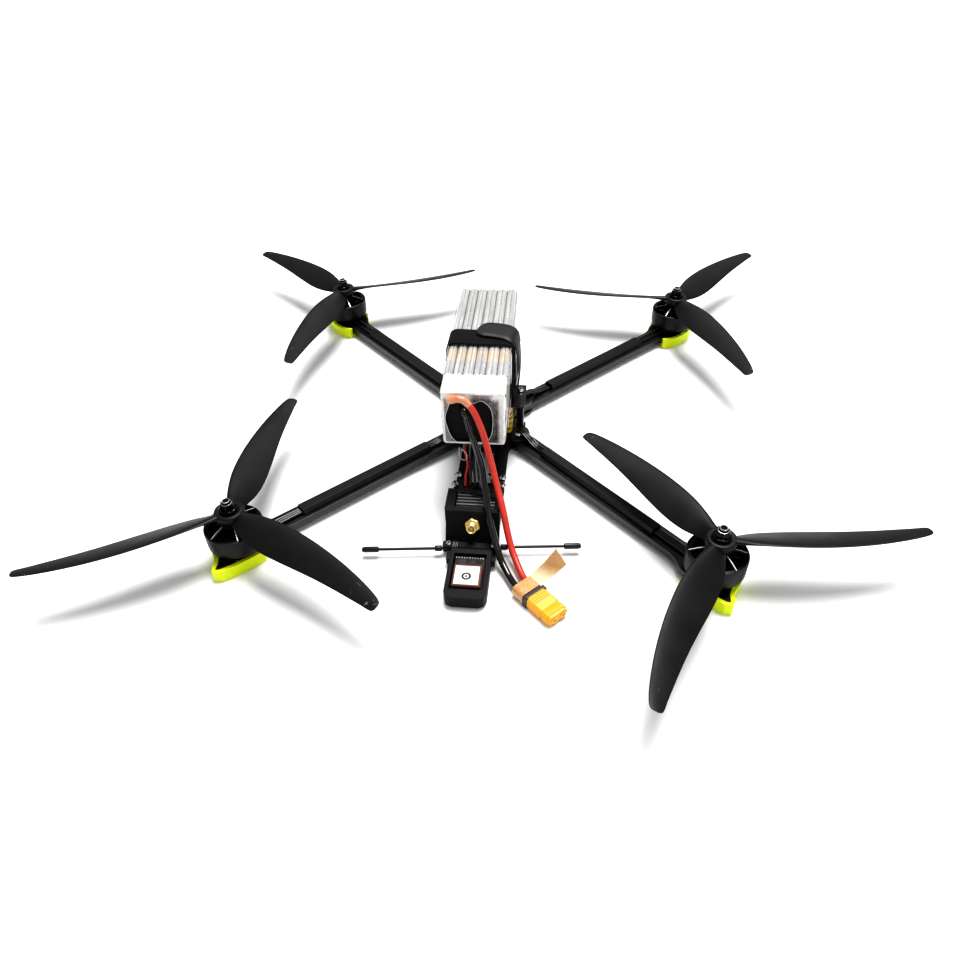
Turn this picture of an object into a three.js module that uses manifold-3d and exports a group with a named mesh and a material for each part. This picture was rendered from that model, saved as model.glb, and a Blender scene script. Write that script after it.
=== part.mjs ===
// Ten-inch fpv drone: carbon frame on four soft feet, four motors with
// three-bladed propellers, and a strapped pouch-cell battery with its leads.
// Millimetres, +Z up. The nose points along +Y and the tail along -Y.
// The origin is the middle of the bottom plate's underside.
import * as THREE from "three";
import { mergeVertices } from "three/addons/utils/BufferGeometryUtils.js";
import Module from "manifold-3d";

const wasm = await Module();
wasm.setup();

// ---- driving dimensions ----
const touchGap = 0.25; // clearance kept between two pieces that touch
const boreGap = 0.3; // radial clearance round the motor shaft
const wheelbase = 427; // motor axis to motor axis, along a diagonal
const armLength = wheelbase / 2; // frame centre to motor axis
const plateThickness = 2; // bottom and top plates
const middleThickness = 2.5;
const armThickness = 5.5;
const armWidth = 15;
const footFloor = -1.2; // underside of the feet, where the drone rests
const footWall = 2.8;
const standoffLength = 30;
const shaftRadius = 2.5;
const bellRadius = 18.7;
const propRadius = 127; // ten-inch propeller

// heights of the stack, each worked out from the one below
const armBottom = plateThickness + touchGap;
const armTop = armBottom + armThickness;
const middleBottom = armTop + touchGap;
const middleTop = middleBottom + middleThickness;
const standoffBottom = middleTop + touchGap;
const topPlateBottom = standoffBottom + standoffLength + touchGap;
const topPlateTop = topPlateBottom + plateThickness;
const padBottom = topPlateTop + touchGap;
const padThickness = 2;
const batteryBottom = padBottom + padThickness + touchGap;
const motorBottom = armTop + touchGap;
const bellBottom = motorBottom + 2.8;
const bellRim = motorBottom + 17.6;
const bellTop = motorBottom + 21;
const hubBottom = bellTop + touchGap;
const hubTop = hubBottom + 8.6;
const bladeHeight = hubBottom + 4.7;
const nutBottom = hubTop + touchGap;
const shaftTop = nutBottom + 8;

// ---- colours and finishes ----
const finish = (color, roughness, metalness = 0) => ({ color, roughness, metalness });
const carbon = finish(0x1c1c1e, 0.45);
const blackPlastic = finish(0x202022, 0.6);
const bladePlastic = finish(0x242426, 0.55);
const blackMetal = finish(0x161618, 0.4, 0.8);
const darkMetal = finish(0x2a2a2c, 0.4, 0.9);
const softBlack = finish(0x161616, 0.8);
const softYellow = finish(0xd2f000, 0.6);
const cellFoil = finish(0xd8d8da, 0.35, 0.6);
const webbing = finish(0x18181a, 0.9);
const redSilicone = finish(0xe03c28, 0.5);
const blackSilicone = finish(0x141416, 0.45);
const yellowNylon = finish(0xf0b428, 0.5);
const paperTape = finish(0xc89b5f, 0.6);
const circuitBoard = finish(0x15301f, 0.5);
const greyHeatsink = finish(0x6a6a6c, 0.45, 0.9);
const goldPlate = finish(0xcaa24a, 0.3, 1);
const ceramicBrown = finish(0x6e463c, 0.5);

const drone = new THREE.Group();

function addMesh(parent, name, geometry, look) {
  const mesh = new THREE.Mesh(geometry, new THREE.MeshStandardMaterial(look));
  mesh.name = name;
  parent.add(mesh);
  return mesh;
}

// ---- solids ----
function toSolid(geometry) {
  const bare = geometry.clone();
  for (const extra of ["normal", "uv"]) bare.deleteAttribute(extra);
  const merged = mergeVertices(bare, 1e-4);
  const mesh = new wasm.Mesh({
    numProp: 3,
    vertProperties: new Float32Array(merged.attributes.position.array),
    triVerts: new Uint32Array(merged.index.array),
  });
  return new wasm.Manifold(mesh);
}

function toGeometry(solid) {
  const mesh = solid.getMesh();
  const geometry = new THREE.BufferGeometry();
  geometry.setAttribute("position", new THREE.BufferAttribute(new Float32Array(mesh.vertProperties), 3));
  geometry.setIndex(new THREE.BufferAttribute(new Uint32Array(mesh.triVerts), 1));
  const flat = geometry.toNonIndexed();
  flat.computeVertexNormals();
  return flat;
}

function joined(pieces) {
  return toGeometry(pieces.map(toSolid).reduce((sum, piece) => sum.add(piece)));
}

function carved(body, cutters) {
  return toGeometry(cutters.map(toSolid).reduce((rest, cutter) => rest.subtract(cutter), toSolid(body)));
}

function box(low, high) {
  const size = high.map((value, axis) => value - low[axis]);
  const centre = high.map((value, axis) => (value + low[axis]) / 2);
  return new THREE.BoxGeometry(...size).translate(...centre);
}

// upright cylinder standing on bottom
function post(radius, bottom, top, x = 0, y = 0, sides = 16) {
  const geometry = new THREE.CylinderGeometry(radius, radius, top - bottom, sides);
  return geometry.rotateX(Math.PI / 2).translate(x, y, (bottom + top) / 2);
}

// closed profile of [radius, height] turned about Z
function turned(profile, sides) {
  const points = [...profile, profile[0]].map(([radius, height]) => new THREE.Vector2(radius, height));
  return new THREE.LatheGeometry(points, sides).rotateX(Math.PI / 2);
}

// flat outline of [x, y] points raised from bottom to top
function slab(outline, bottom, top) {
  const shape = new THREE.Shape(outline.map(([x, y]) => new THREE.Vector2(x, y)));
  const geometry = new THREE.ExtrudeGeometry(shape, { depth: top - bottom, bevelEnabled: false });
  return geometry.translate(0, 0, bottom);
}

function smoothed(points, steps) {
  const curve = new THREE.SplineCurve(points.map(([x, y]) => new THREE.Vector2(x, y)));
  return curve.getPoints(steps).map((point) => [point.x, point.y]);
}

// open line moved sideways, to its right for a positive distance
function movedLine(points, distance) {
  return points.map(([x, y], index) => {
    const [x0, y0] = points[Math.max(index - 1, 0)];
    const [x1, y1] = points[Math.min(index + 1, points.length - 1)];
    const length = Math.hypot(x1 - x0, y1 - y0);
    return [x + (distance * (y1 - y0)) / length, y - (distance * (x1 - x0)) / length];
  });
}

// tube through a list of points
function tube(points, radius, sides, steps) {
  const path = new THREE.CatmullRomCurve3(points.map((point) => new THREE.Vector3(...point)));
  const section = new THREE.Shape();
  for (let side = 0; side < sides; side += 1) {
    const angle = (side / sides) * Math.PI * 2;
    const x = radius * Math.cos(angle);
    const y = radius * Math.sin(angle);
    if (side === 0) section.moveTo(x, y);
    else section.lineTo(x, y);
  }
  section.closePath();
  return new THREE.ExtrudeGeometry(section, { steps, extrudePath: path });
}

// ---- frame plates ----
function lobe(width, length, bottom, top, angle) {
  const end = length - width / 3;
  const outline = [
    [0, -width / 2],
    [end - 4, -width / 2],
    [end, -width / 2 + 2],
    [length, -width / 6],
    [length, width / 6],
    [end, width / 2 - 2],
    [end - 4, width / 2],
    [0, width / 2],
  ];
  return slab(outline, bottom, top).rotateZ(angle);
}

const diagonals = [45, 135, 225, 315].map((degrees) => (degrees * Math.PI) / 180);
const lobeWidth = 18;
const lobeLength = 43;
const frontEnd = 62; // where the plates end towards the nose
const tailEnd = -100;
const spineHalf = 17; // half width of the plates along the body
const standoffSpots = [
  ["rear_left", -23.5, -15],
  ["rear_right", 23.5, -15],
  ["front_left", -13.6, 50],
  ["front_right", 13.6, 50],
];

function bottomPlate() {
  const spine = box([-spineHalf, -34, 0], [spineHalf, 34, plateThickness]);
  const lobes = diagonals.map((angle) => lobe(lobeWidth, lobeLength, 0, plateThickness, angle));
  return joined([spine, ...lobes]);
}

function middlePlate() {
  const spine = box([-spineHalf, tailEnd, middleBottom], [spineHalf, 88, middleTop]);
  const ears = box([-27.5, -20, middleBottom], [27.5, -9, middleTop]);
  const lobes = diagonals.map((angle) => lobe(lobeWidth, lobeLength, middleBottom, middleTop, angle));
  const plate = joined([spine, ears, ...lobes]);
  const tailSlot = box([-7, -84, middleBottom - 1], [7, -46, middleTop + 1]);
  const wireHole = box([-6, 32, middleBottom - 1], [6, 44, middleTop + 1]);
  return carved(plate, [tailSlot, wireHole]);
}

function topPlate() {
  const spine = box([-spineHalf, -62, topPlateBottom], [spineHalf, frontEnd, topPlateTop]);
  const ears = box([-27.5, -34, topPlateBottom], [27.5, -7, topPlateTop]);
  const plate = joined([spine, ears]);
  const strapSlots = [
    box([17.6, -31, topPlateBottom - 1], [20.3, -10, topPlateTop + 1]),
    box([-20.3, -31, topPlateBottom - 1], [-17.6, -10, topPlateTop + 1]),
  ];
  const windows = [
    box([-9, 8, topPlateBottom - 1], [9, 36, topPlateTop + 1]),
    box([-9, -54, topPlateBottom - 1], [9, -36, topPlateTop + 1]),
  ];
  return carved(plate, [...strapSlots, ...windows]);
}

addMesh(drone, "bottom_plate", bottomPlate(), carbon);
addMesh(drone, "middle_plate", middlePlate(), carbon);
addMesh(drone, "top_plate", topPlate(), carbon);
for (const [spot, x, y] of standoffSpots) {
  const standoff = post(2.75, standoffBottom, standoffBottom + standoffLength, x, y, 12);
  addMesh(drone, `${spot}_standoff`, standoff, blackMetal);
}

// ---- arm, along its own +X, with the longer horn of its end on +Y ----
// end outline about the motor axis: from the straight edge on -Y, round the end, to +Y
const armEnd = [
  [-28, -7.5],
  [-22, -9],
  [-17, -12.6],
  [-9, -14],
  [1, -13.4],
  [9, -10.6],
  [13.4, -5.6],
  [15, 0],
  [16.2, 4],
  [19, 8.6],
  [21.8, 12],
  [14, 13.8],
  [0, 14.2],
  [-12, 13.6],
  [-17, 12],
  [-22, 9],
  [-28, 7.5],
];

const armEndLine = smoothed(armEnd, 34).map(([x, y]) => [x + armLength, y]);

function arm() {
  const root = 9; // the four arm roots meet round this radius
  const outline = [[root, armWidth / 2], [root, -armWidth / 2], ...armEndLine];
  return slab(outline, armBottom, armTop);
}

// soft shoe clipped round the arm's end, which the drone stands on
function foot() {
  const wrapped = armEndLine.filter(([x, y]) => x > armLength + (y > 0 ? -12 : -24));
  const outer = movedLine(wrapped, footWall + touchGap);
  const pocket = movedLine(armEndLine, touchGap);
  const pocketEnd = armLength - 40;
  const pocketOutline = [[pocketEnd, armWidth / 2], [pocketEnd, -armWidth / 2], ...pocket];
  const shoe = slab(outer, footFloor, armTop);
  return carved(shoe, [slab(pocketOutline, armBottom - touchGap, armTop + 1)]);
}

// trapezium channel on top of the arm, open underneath, over the motor wires
const coverStart = 61;
const coverEnd = 168;

function wireCover() {
  const base = armTop + touchGap;
  const channel = (halfBase, halfTop, bottom, height, start, end) => {
    const section = [[-halfBase, 0], [halfBase, 0], [halfTop, height], [-halfTop, height]];
    const raised = slab(section, start, end);
    return raised.rotateX(Math.PI / 2).rotateZ(Math.PI / 2).translate(0, 0, bottom);
  };
  const outside = channel(4.6, 3.6, base, 4.2, coverStart, coverEnd);
  const inside = channel(3.9, 2.9, base - 0.5, 3.9, coverStart - 1, coverEnd + 1);
  return carved(outside, [inside]);
}

// three phase wires side by side, from the electronics to the motor, as one ribbed ribbon
function motorWires() {
  const height = armTop + 1.45;
  const route = [
    [30, middleTop + 3.7],
    [37, middleTop + 3.4],
    [43, middleTop + 2],
    [48, height + 1],
    [54, height + 0.1],
    [62, height],
    [120, height],
    [186, height],
    [armLength - 14.6, height],
  ];
  const path = new THREE.CatmullRomCurve3(
    route.map(([along, up]) => new THREE.Vector3(along, 0, up)),
    false,
    "chordal",
  );
  const edge = [
    [-2.7, 0.4], [-2.1, 0.95], [-1.4, 0.95], [-0.9, 0.5],
    [-0.4, 0.95], [0.4, 0.95], [0.9, 0.5],
    [1.4, 0.95], [2.1, 0.95], [2.7, 0.4],
    [2.7, -0.5], [2, -0.95], [-2, -0.95], [-2.7, -0.5],
  ];
  const section = new THREE.Shape(edge.map(([side, up]) => new THREE.Vector2(-side, -up)));
  return new THREE.ExtrudeGeometry(section, { steps: 11, extrudePath: path });
}

// ---- motor and propeller, about their own Z axis ----
function motorBase() {
  const bore = shaftRadius + boreGap;
  const profile = [
    [bore, motorBottom],
    [14, motorBottom],
    [14, motorBottom + 2.2],
    [6, motorBottom + 2.8],
    [6, motorBottom + 4.5],
    [16.4, motorBottom + 4.5],
    [16.4, motorBottom + 14.5],
    [5, motorBottom + 14.5],
    [5, bellTop - 3.2],
    [bore, bellTop - 3.2],
  ];
  return turned(profile, 14);
}

const spokeCount = 6;

function motorBell() {
  const inner = 16.9;
  const wall = [
    [inner, bellBottom],
    [bellRadius - 1.2, bellBottom + 1],
    [bellRadius, bellBottom + 3.6],
    [bellRadius, bellRim],
    [inner, bellRim],
  ];
  const centre = [
    [1, bellTop - 2.9],
    [7.6, bellTop - 2.9],
    [7.6, bellTop],
    [1, bellTop],
  ];
  const spokes = [];
  for (let index = 0; index < spokeCount; index += 1) {
    const outline = [[6.6, bellTop - 2.7], [17.6, bellRim - 2.6], [17.6, bellRim - 0.4], [6.6, bellTop - 0.5]];
    const web = slab(outline, -0.9, 0.9).rotateX(Math.PI / 2);
    spokes.push(web.rotateZ((index / spokeCount) * Math.PI * 2));
  }
  const shaft = post(shaftRadius, motorBottom + 0.5, shaftTop, 0, 0, 12);
  return joined([turned(wall, 20), turned(centre, 12), ...spokes, shaft]);
}

// blade stations: radius, chord, pitch in degrees, thickness
const bladeStations = [
  [7, 12.5, 30, 6.6],
  [20, 18.8, 29, 4.2],
  [40, 22.7, 26, 2.9],
  [60, 21.4, 22, 2.3],
  [80, 18.2, 19, 1.9],
  [98, 14.9, 16.5, 1.6],
  [112, 11.8, 14, 1.3],
  [122, 8.8, 12.5, 1.1],
  [propRadius, 4.2, 11, 0.8],
];
const bladeBow = 3.2; // how far the blade's middle line bows towards its leading edge
// half section: distance along the chord from its middle, height above the middle line
const bladeSection = [
  [0.5, 0],
  [0.28, 0.55],
  [-0.16, 0.5],
  [-0.5, 0],
  [-0.16, -0.28],
  [0.28, -0.42],
];

// one blade along +X, its leading edge towards side * Y
function blade(side) {
  const positions = [];
  for (const [radius, chord, pitch, thickness] of bladeStations) {
    const turn = (pitch * Math.PI) / 180;
    const reach = Math.max(radius - 15, 0) / (propRadius - 15);
    const bow = bladeBow * Math.sin(Math.PI * reach ** 1.15);
    for (const [along, up] of bladeSection) {
      const flat = bow + along * chord * Math.cos(turn) - up * thickness * Math.sin(turn);
      const rise = along * chord * Math.sin(turn) + up * thickness * Math.cos(turn);
      positions.push(radius, side * flat, bladeHeight + rise);
    }
  }
  const ring = bladeSection.length;
  const last = (bladeStations.length - 1) * ring;
  const faces = [];
  const face = (a, b, c) => faces.push(...(side > 0 ? [a, c, b] : [a, b, c]));
  for (let start = 0; start < last; start += ring) {
    for (let corner = 0; corner < ring; corner += 1) {
      const next = (corner + 1) % ring;
      face(start + corner, start + ring + corner, start + next);
      face(start + next, start + ring + corner, start + ring + next);
    }
  }
  for (let corner = 1; corner < ring - 1; corner += 1) {
    face(0, corner, corner + 1);
    face(last, last + corner + 1, last + corner);
  }
  const geometry = new THREE.BufferGeometry();
  geometry.setAttribute("position", new THREE.Float32BufferAttribute(positions, 3));
  geometry.setIndex(faces);
  return geometry;
}

function propeller(side, restAngle) {
  const hub = [
    [2, hubBottom],
    [9.5, hubBottom],
    [9.5, hubTop - 0.8],
    [8.8, hubTop],
    [2, hubTop],
  ];
  const blades = [0, 120, 240].map((degrees) => {
    return blade(side).rotateZ(((restAngle + degrees) * Math.PI) / 180);
  });
  const whole = joined([turned(hub, 16), ...blades]);
  return carved(whole, [post(shaftRadius + boreGap, hubBottom - 4, hubTop + 4, 0, 0, 12)]);
}

function propNut() {
  const flange = post(5.9, nutBottom, nutBottom + 1.3, 0, 0, 10);
  const hexagon = post(4.6, nutBottom + 1, nutBottom + 5.4, 0, 0, 6);
  return carved(joined([flange, hexagon]), [post(shaftRadius + boreGap, nutBottom - 1, nutBottom + 8, 0, 0, 12)]);
}

// each corner: name, direction of its arm, side of the arm's longer horn,
// side of the blades' leading edge, and where one blade points at rest
const corners = [
  ["rear_left", 225, 1, 1, 88.6],
  ["rear_right", 315, -1, -1, 8.5],
  ["front_left", 135, -1, -1, 22.7],
  ["front_right", 45, 1, 1, 51.4],
];

// mirrored copies are turned over, so that their solids keep their faces outwards
function armPiece(geometry, hornSide) {
  if (hornSide > 0) return geometry;
  const solid = toSolid(geometry).mirror([0, 1, 0]);
  return toGeometry(solid);
}

for (const [corner, degrees, hornSide, leadSide, restAngle] of corners) {
  const angle = (degrees * Math.PI) / 180;
  const armGroup = new THREE.Group();
  armGroup.rotation.z = angle;
  addMesh(armGroup, `${corner}_arm`, armPiece(arm(), hornSide), carbon);
  addMesh(armGroup, `${corner}_foot`, armPiece(foot(), hornSide), softYellow);
  addMesh(armGroup, `${corner}_wire_cover`, wireCover(), blackPlastic);
  addMesh(armGroup, `${corner}_motor_wires`, motorWires(), blackSilicone);
  drone.add(armGroup);

  const motorGroup = new THREE.Group();
  motorGroup.position.set(armLength * Math.cos(angle), armLength * Math.sin(angle), 0);
  addMesh(motorGroup, `${corner}_motor_base`, motorBase(), darkMetal);
  addMesh(motorGroup, `${corner}_motor_bell`, motorBell(), blackMetal);
  addMesh(motorGroup, `${corner}_propeller`, propeller(leadSide, restAngle), bladePlastic);
  addMesh(motorGroup, `${corner}_prop_nut`, propNut(), blackMetal);
  drone.add(motorGroup);
}

// ---- electronics between the plates ----
function board(half, x, y, bottom, parts) {
  const sheet = box([x - half, y - half, bottom], [x + half, y + half, bottom + 1.6]);
  const chips = parts.map(([left, front, right, back, height]) => {
    return box([x + left, y + front, bottom + 1], [x + right, y + back, bottom + 1.6 + height]);
  });
  return joined([sheet, ...chips]);
}

const stackY = 10;
const speedParts = [[-16, -14, -6, 14, 1.6], [6, -14, 16, 14, 1.6], [-4, -16, 4, -8, 3]];
const flightParts = [[-5, -5, 5, 5, 1.4], [-14, 6, -8, 14, 2], [8, -14, 14, -4, 2]];
addMesh(drone, "speed_controller", board(19, 0, stackY, middleTop + 5, speedParts), circuitBoard);
addMesh(drone, "flight_controller", board(18, 0, stackY, middleTop + 13, flightParts), circuitBoard);
addMesh(drone, "receiver", board(6, -6, -40, middleTop + 3, [[-4, -4, 4, 4, 1]]), circuitBoard);

// ribbed plug that the battery connector pushes on to, upright by the right rear standoff
function powerPlug() {
  const low = middleTop + 0.6;
  const pieces = [box([11.6, -25.6, low], [18.2, -10.4, low + 19])];
  for (let rib = 0; rib < 3; rib += 1) {
    const bottom = low + 2.6 + rib * 3.6;
    pieces.push(box([11.1, -26.4, bottom], [18.8, -9.8, bottom + 1.8]));
  }
  for (const y of [-21.6, -14.4]) pieces.push(post(2.3, low + 18, low + 26, 14.9, y, 10));
  return joined(pieces);
}

addMesh(drone, "power_plug", powerPlug(), yellowNylon);

// ---- tail ----
const tailFloor = middleTop + touchGap;
const mountHalf = 17.5;

// soft printed cradle: floor on the plate, two side walls, and a rear wall that leans forward
function rearMount() {
  const rearWall = slab(
    [[-121.5, 23.8], [-126, 23.8], [-135.5, 3], [-131, 3]],
    -mountHalf,
    mountHalf,
  );
  rearWall.rotateX(Math.PI / 2).rotateZ(Math.PI / 2);
  const pieces = [
    rearWall,
    box([-mountHalf, -127, tailFloor], [mountHalf, -90, tailFloor + 2]),
    box([-mountHalf - 1.5, -122.4, tailFloor], [-mountHalf + 4.5, -103, 22.6]),
    box([mountHalf - 3, -122.4, tailFloor], [mountHalf, -103, 18]),
    box([-3.2, -143.6, 3.4], [3.2, -131.5, 6.6]),
    box([-18.4, -142.4, 2.2], [18.4, -137.6, 7.4]),
  ];
  const whole = joined(pieces);
  const rodHole = new THREE.CylinderGeometry(1.5, 1.5, 60, 10).rotateZ(Math.PI / 2);
  rodHole.rotateZ(rodTurn).translate(0, -140, rodHeight);
  const plugHole = new THREE.CylinderGeometry(3.5, 3.5, 16, 16);
  placeOnRearWall(plugHole);
  return carved(whole, [rodHole, plugHole]);
}

// dipole rod across the tail, turned a little
const rodTurn = THREE.MathUtils.degToRad(6);
const rodHeight = 4.8;
const rodHalf = 71;

// turns a piece whose axis is Y to stand straight out of the rear wall
const wallLean = Math.atan2(9.5, 20.8);
function placeOnRearWall(geometry) {
  return geometry.rotateX(-wallLean).translate(0, -129.6, 14.9);
}

function antennaConnector() {
  const hexagon = new THREE.CylinderGeometry(5.2, 5.2, 2.4, 6).translate(0, -3.9, 0);
  const barrel = new THREE.CylinderGeometry(3.1, 3.1, 13, 16).translate(0, -4.5, 0);
  return placeOnRearWall(joined([hexagon, barrel]));
}

function receiverAntenna() {
  const rod = new THREE.CylinderGeometry(1.1, 1.1, 2 * rodHalf - 4, 8);
  const caps = [-1, 1].map((end) => {
    return new THREE.CylinderGeometry(2, 2, 11, 8).translate(0, end * (rodHalf - 5.5), 0);
  });
  const sleeves = [-1, 1].map((end) => {
    return new THREE.CylinderGeometry(1.9, 1.9, 4.6, 8).translate(0, end * 21.4, 0);
  });
  const whole = joined([rod, ...caps, ...sleeves]);
  return whole.rotateZ(Math.PI / 2).rotateZ(rodTurn).translate(0, -140, rodHeight);
}

function videoTransmitter() {
  const low = tailFloor + 2 + touchGap;
  const pieces = [box([-12.5, -118.5, low], [13, -92, low + 4])];
  for (let fin = 0; fin < 9; fin += 1) {
    const back = -118 + fin * 3;
    pieces.push(box([-12.5, back, low + 3], [13, back + 1.4, low + 6.4]));
  }
  return joined(pieces);
}

const gpsFront = -144.4;
const gpsRear = -186;
const gpsHalf = 13.2;
const gpsShift = 0.8; // the tray sits a little to the right
const gpsTop = 8.8;

function gpsHolder() {
  const corner = 5;
  const left = gpsShift - gpsHalf;
  const right = gpsShift + gpsHalf;
  const outline = [
    [left, gpsFront],
    [left, gpsRear + corner],
    [left + corner * 0.3, gpsRear + corner * 0.3],
    [left + corner, gpsRear],
    [right - corner, gpsRear],
    [right - corner * 0.3, gpsRear + corner * 0.3],
    [right, gpsRear + corner],
    [right, gpsFront],
  ];
  const tray = slab(outline, 0.2, gpsTop);
  const ears = box([left - 2.4, gpsFront - 8, 1.4], [right + 2.4, gpsFront - 0.6, 6.4]);
  const recess = box([left + 3, gpsRear + 7.4, 4.2], [right - 3, gpsFront - 4.6, gpsTop + 1]);
  return carved(joined([tray, ears]), [recess]);
}

// circuit board with the square ceramic antenna on it
function gpsModule() {
  const low = 4.2 + touchGap;
  const middle = gpsShift;
  return joined([
    box([middle - 9.8, gpsRear + 7.8, low], [middle + 9.8, gpsFront - 5, low + 1.4]),
    box([middle - 9, gpsRear + 8.4, low + 1.2], [middle + 9, gpsRear + 26.4, low + 6]),
  ]);
}

addMesh(drone, "rear_mount", rearMount(), softBlack);
addMesh(drone, "video_transmitter", videoTransmitter(), greyHeatsink);
addMesh(drone, "antenna_connector", antennaConnector(), goldPlate);
addMesh(drone, "receiver_antenna", receiverAntenna(), blackPlastic);
addMesh(drone, "gps_holder", gpsHolder(), softBlack);
addMesh(drone, "gps_module", gpsModule(), ceramicBrown);

// ---- camera in its bracket at the nose ----
const pivotY = 74;
const pivotZ = 25;
const cameraHalf = 9.6;
const cheekInner = cameraHalf + 0.35;
const cheekOuter = cheekInner + 2.6;

function cameraBracket() {
  const pieces = [box([-cheekOuter, 62, standoffBottom], [cheekOuter, 86, standoffBottom + 1.6])];
  for (const side of [-1, 1]) {
    const [low, high] = [side * cheekInner, side * cheekOuter].sort((a, b) => a - b);
    pieces.push(box([low, 62, standoffBottom], [high, 86, topPlateBottom - 2]));
  }
  const pinHole = new THREE.CylinderGeometry(1.5, 1.5, 40, 14).rotateZ(Math.PI / 2);
  return carved(joined(pieces), [pinHole.translate(0, pivotY, pivotZ)]);
}

function cameraBody() {
  const shell = box([-cameraHalf, -8, -cameraHalf], [cameraHalf, 6, cameraHalf]);
  const barrel = new THREE.CylinderGeometry(6.6, 6.6, 14, 20).translate(0, 11, 0);
  const hood = new THREE.CylinderGeometry(7.6, 7.6, 4, 20).translate(0, 17, 0);
  const pin = new THREE.CylinderGeometry(1.2, 1.2, 2 * cheekOuter, 12).rotateZ(Math.PI / 2);
  return joined([shell, barrel, hood, pin]);
}

addMesh(drone, "camera_bracket", cameraBracket(), blackPlastic);
const cameraGroup = new THREE.Group();
cameraGroup.position.set(0, pivotY, pivotZ);
addMesh(cameraGroup, "camera", cameraBody(), blackPlastic);
drone.add(cameraGroup);

// ---- battery, its pad, strap and leads ----
const batteryWidth = 42.5;
const batteryHeight = 43;
const batteryLength = 140;
const batteryX = -4.3;
const batteryY = -15;
const batteryTurn = THREE.MathUtils.degToRad(1);
const batteryTop = batteryBottom + batteryHeight;

function batteryPack() {
  const half = batteryWidth / 2;
  const corner = 3;
  const section = [
    [-half + corner, 0],
    [half - corner, 0],
    [half, corner],
    [half, batteryHeight - corner],
    [half - corner, batteryHeight],
    [-half + corner, batteryHeight],
    [-half, batteryHeight - corner],
    [-half, corner],
  ];
  const pack = slab(section, -batteryLength / 2, batteryLength / 2);
  pack.rotateX(Math.PI / 2).rotateZ(batteryTurn);
  return pack.translate(batteryX, batteryY, batteryBottom);
}

// one closed loop: over the battery, down both sides, through the slots, under the top plate
function batteryStrap() {
  const left = batteryX - batteryWidth / 2 - 0.7;
  const right = batteryX + batteryWidth / 2 + 0.7;
  const under = topPlateBottom - 0.4;
  const lift = batteryTop + 0.4;
  const inner = [
    [-18.4, under],
    [18.3, under],
    [18.3, topPlateTop],
    [right, batteryBottom + 4],
    [right, lift - 3.4],
    [right - 3.4, lift],
    [left + 3.4, lift],
    [left, lift - 3.4],
    [left, batteryBottom - 0.2],
    [-18.4, batteryBottom - 0.6],
  ];
  const outer = [
    [-19.7, under - 1.3],
    [19.6, under - 1.3],
    [19.6, topPlateTop],
    [right + 1.3, batteryBottom + 4],
    [right + 1.3, lift - 2.8],
    [right - 2.8, lift + 1.3],
    [left + 2.8, lift + 1.3],
    [left - 1.3, lift - 2.8],
    [left - 1.3, batteryBottom - 1.5],
    [-19.7, batteryBottom - 1.9],
  ];
  const band = (outline, low, high) => slab(outline, low, high).rotateX(Math.PI / 2);
  return carved(band(outer, 11, 30), [band(inner, 10, 31)]);
}

const leadRadius = 2.2;
const redRoute = [
  [-16.6, -88, 84],
  [-11.8, -88.4, 85],
  [-7.8, -89.2, 84.4],
  [-4.4, -90.2, 81.4],
  [-1.4, -91.2, 77],
  [1.2, -92.6, 71.4],
  [3.6, -94.2, 65.2],
  [5.8, -96.2, 58.6],
  [8, -99.4, 51.8],
  [10.6, -103.8, 45],
  [13, -109, 38.4],
  [15.6, -115, 32.6],
  [18, -121.2, 28.6],
  [20.4, -127.6, 23.4],
  [22.4, -132.6, 17],
  [24.4, -137.6, 12],
  [26.8, -143.4, 8],
  [29.4, -149, 5.4],
  [32, -154.8, 4],
  [34.6, -160.4, 3.2],
  [37, -164.4, 3.2],
];
const blackRoute = [
  [-8, -87.4, 73.2],
  [-6.9, -88.4, 70.2],
  [-5.6, -90, 66],
  [-4.3, -91.8, 61.8],
  [-2.6, -93.6, 57.8],
  [-0.8, -95.2, 53.4],
  [1.1, -97.4, 48.8],
  [3.1, -100.4, 44.4],
  [4.8, -105, 40.2],
  [6, -111, 36.6],
  [7.8, -117.6, 32.8],
  [9.4, -124, 28.6],
  [11.2, -130, 23.8],
  [13.4, -136, 18.6],
  [15.8, -141.8, 13.8],
  [18.2, -146.8, 9.4],
  [20.8, -151.8, 6.2],
  [23.8, -157, 4.2],
  [26.6, -162, 3.2],
  [29.6, -167, 3.2],
  [31.8, -169.6, 3.2],
];

// connector lying flat on the ground, pointing right and back from the leads' ends
const connectorBack = [34.4, -167];
const connectorTurn = THREE.MathUtils.degToRad(-45.5);
const connectorHeight = 3.2;
function placeConnector(geometry) {
  return geometry.rotateZ(connectorTurn).translate(...connectorBack, connectorHeight);
}

function connectorBody() {
  const shell = box([10.4, -8, -4], [31.4, 8, 4]);
  const nose = box([31, -7.2, -3.4], [33.4, 7.2, 3.4]);
  return placeConnector(joined([shell, nose]));
}

// flat four-cornered sheet, its corners counter-clockwise seen from the thick side
function sheet(corners, thickness) {
  const [a, b, , d] = corners.map((corner) => new THREE.Vector3(...corner));
  const lift = b.sub(a).cross(d.sub(a)).setLength(thickness);
  const moved = corners.map(([x, y, z]) => [x + lift.x, y + lift.y, z + lift.z]);
  const geometry = new THREE.BufferGeometry();
  geometry.setAttribute("position", new THREE.Float32BufferAttribute([...corners, ...moved].flat(), 3));
  const sides = [0, 1, 2, 3].flatMap((corner) => {
    const next = (corner + 1) % 4;
    return [corner, next, next + 4, corner, next + 4, corner + 4];
  });
  geometry.setIndex([0, 2, 1, 0, 3, 2, 4, 5, 6, 4, 6, 7, ...sides]);
  return geometry;
}

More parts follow.
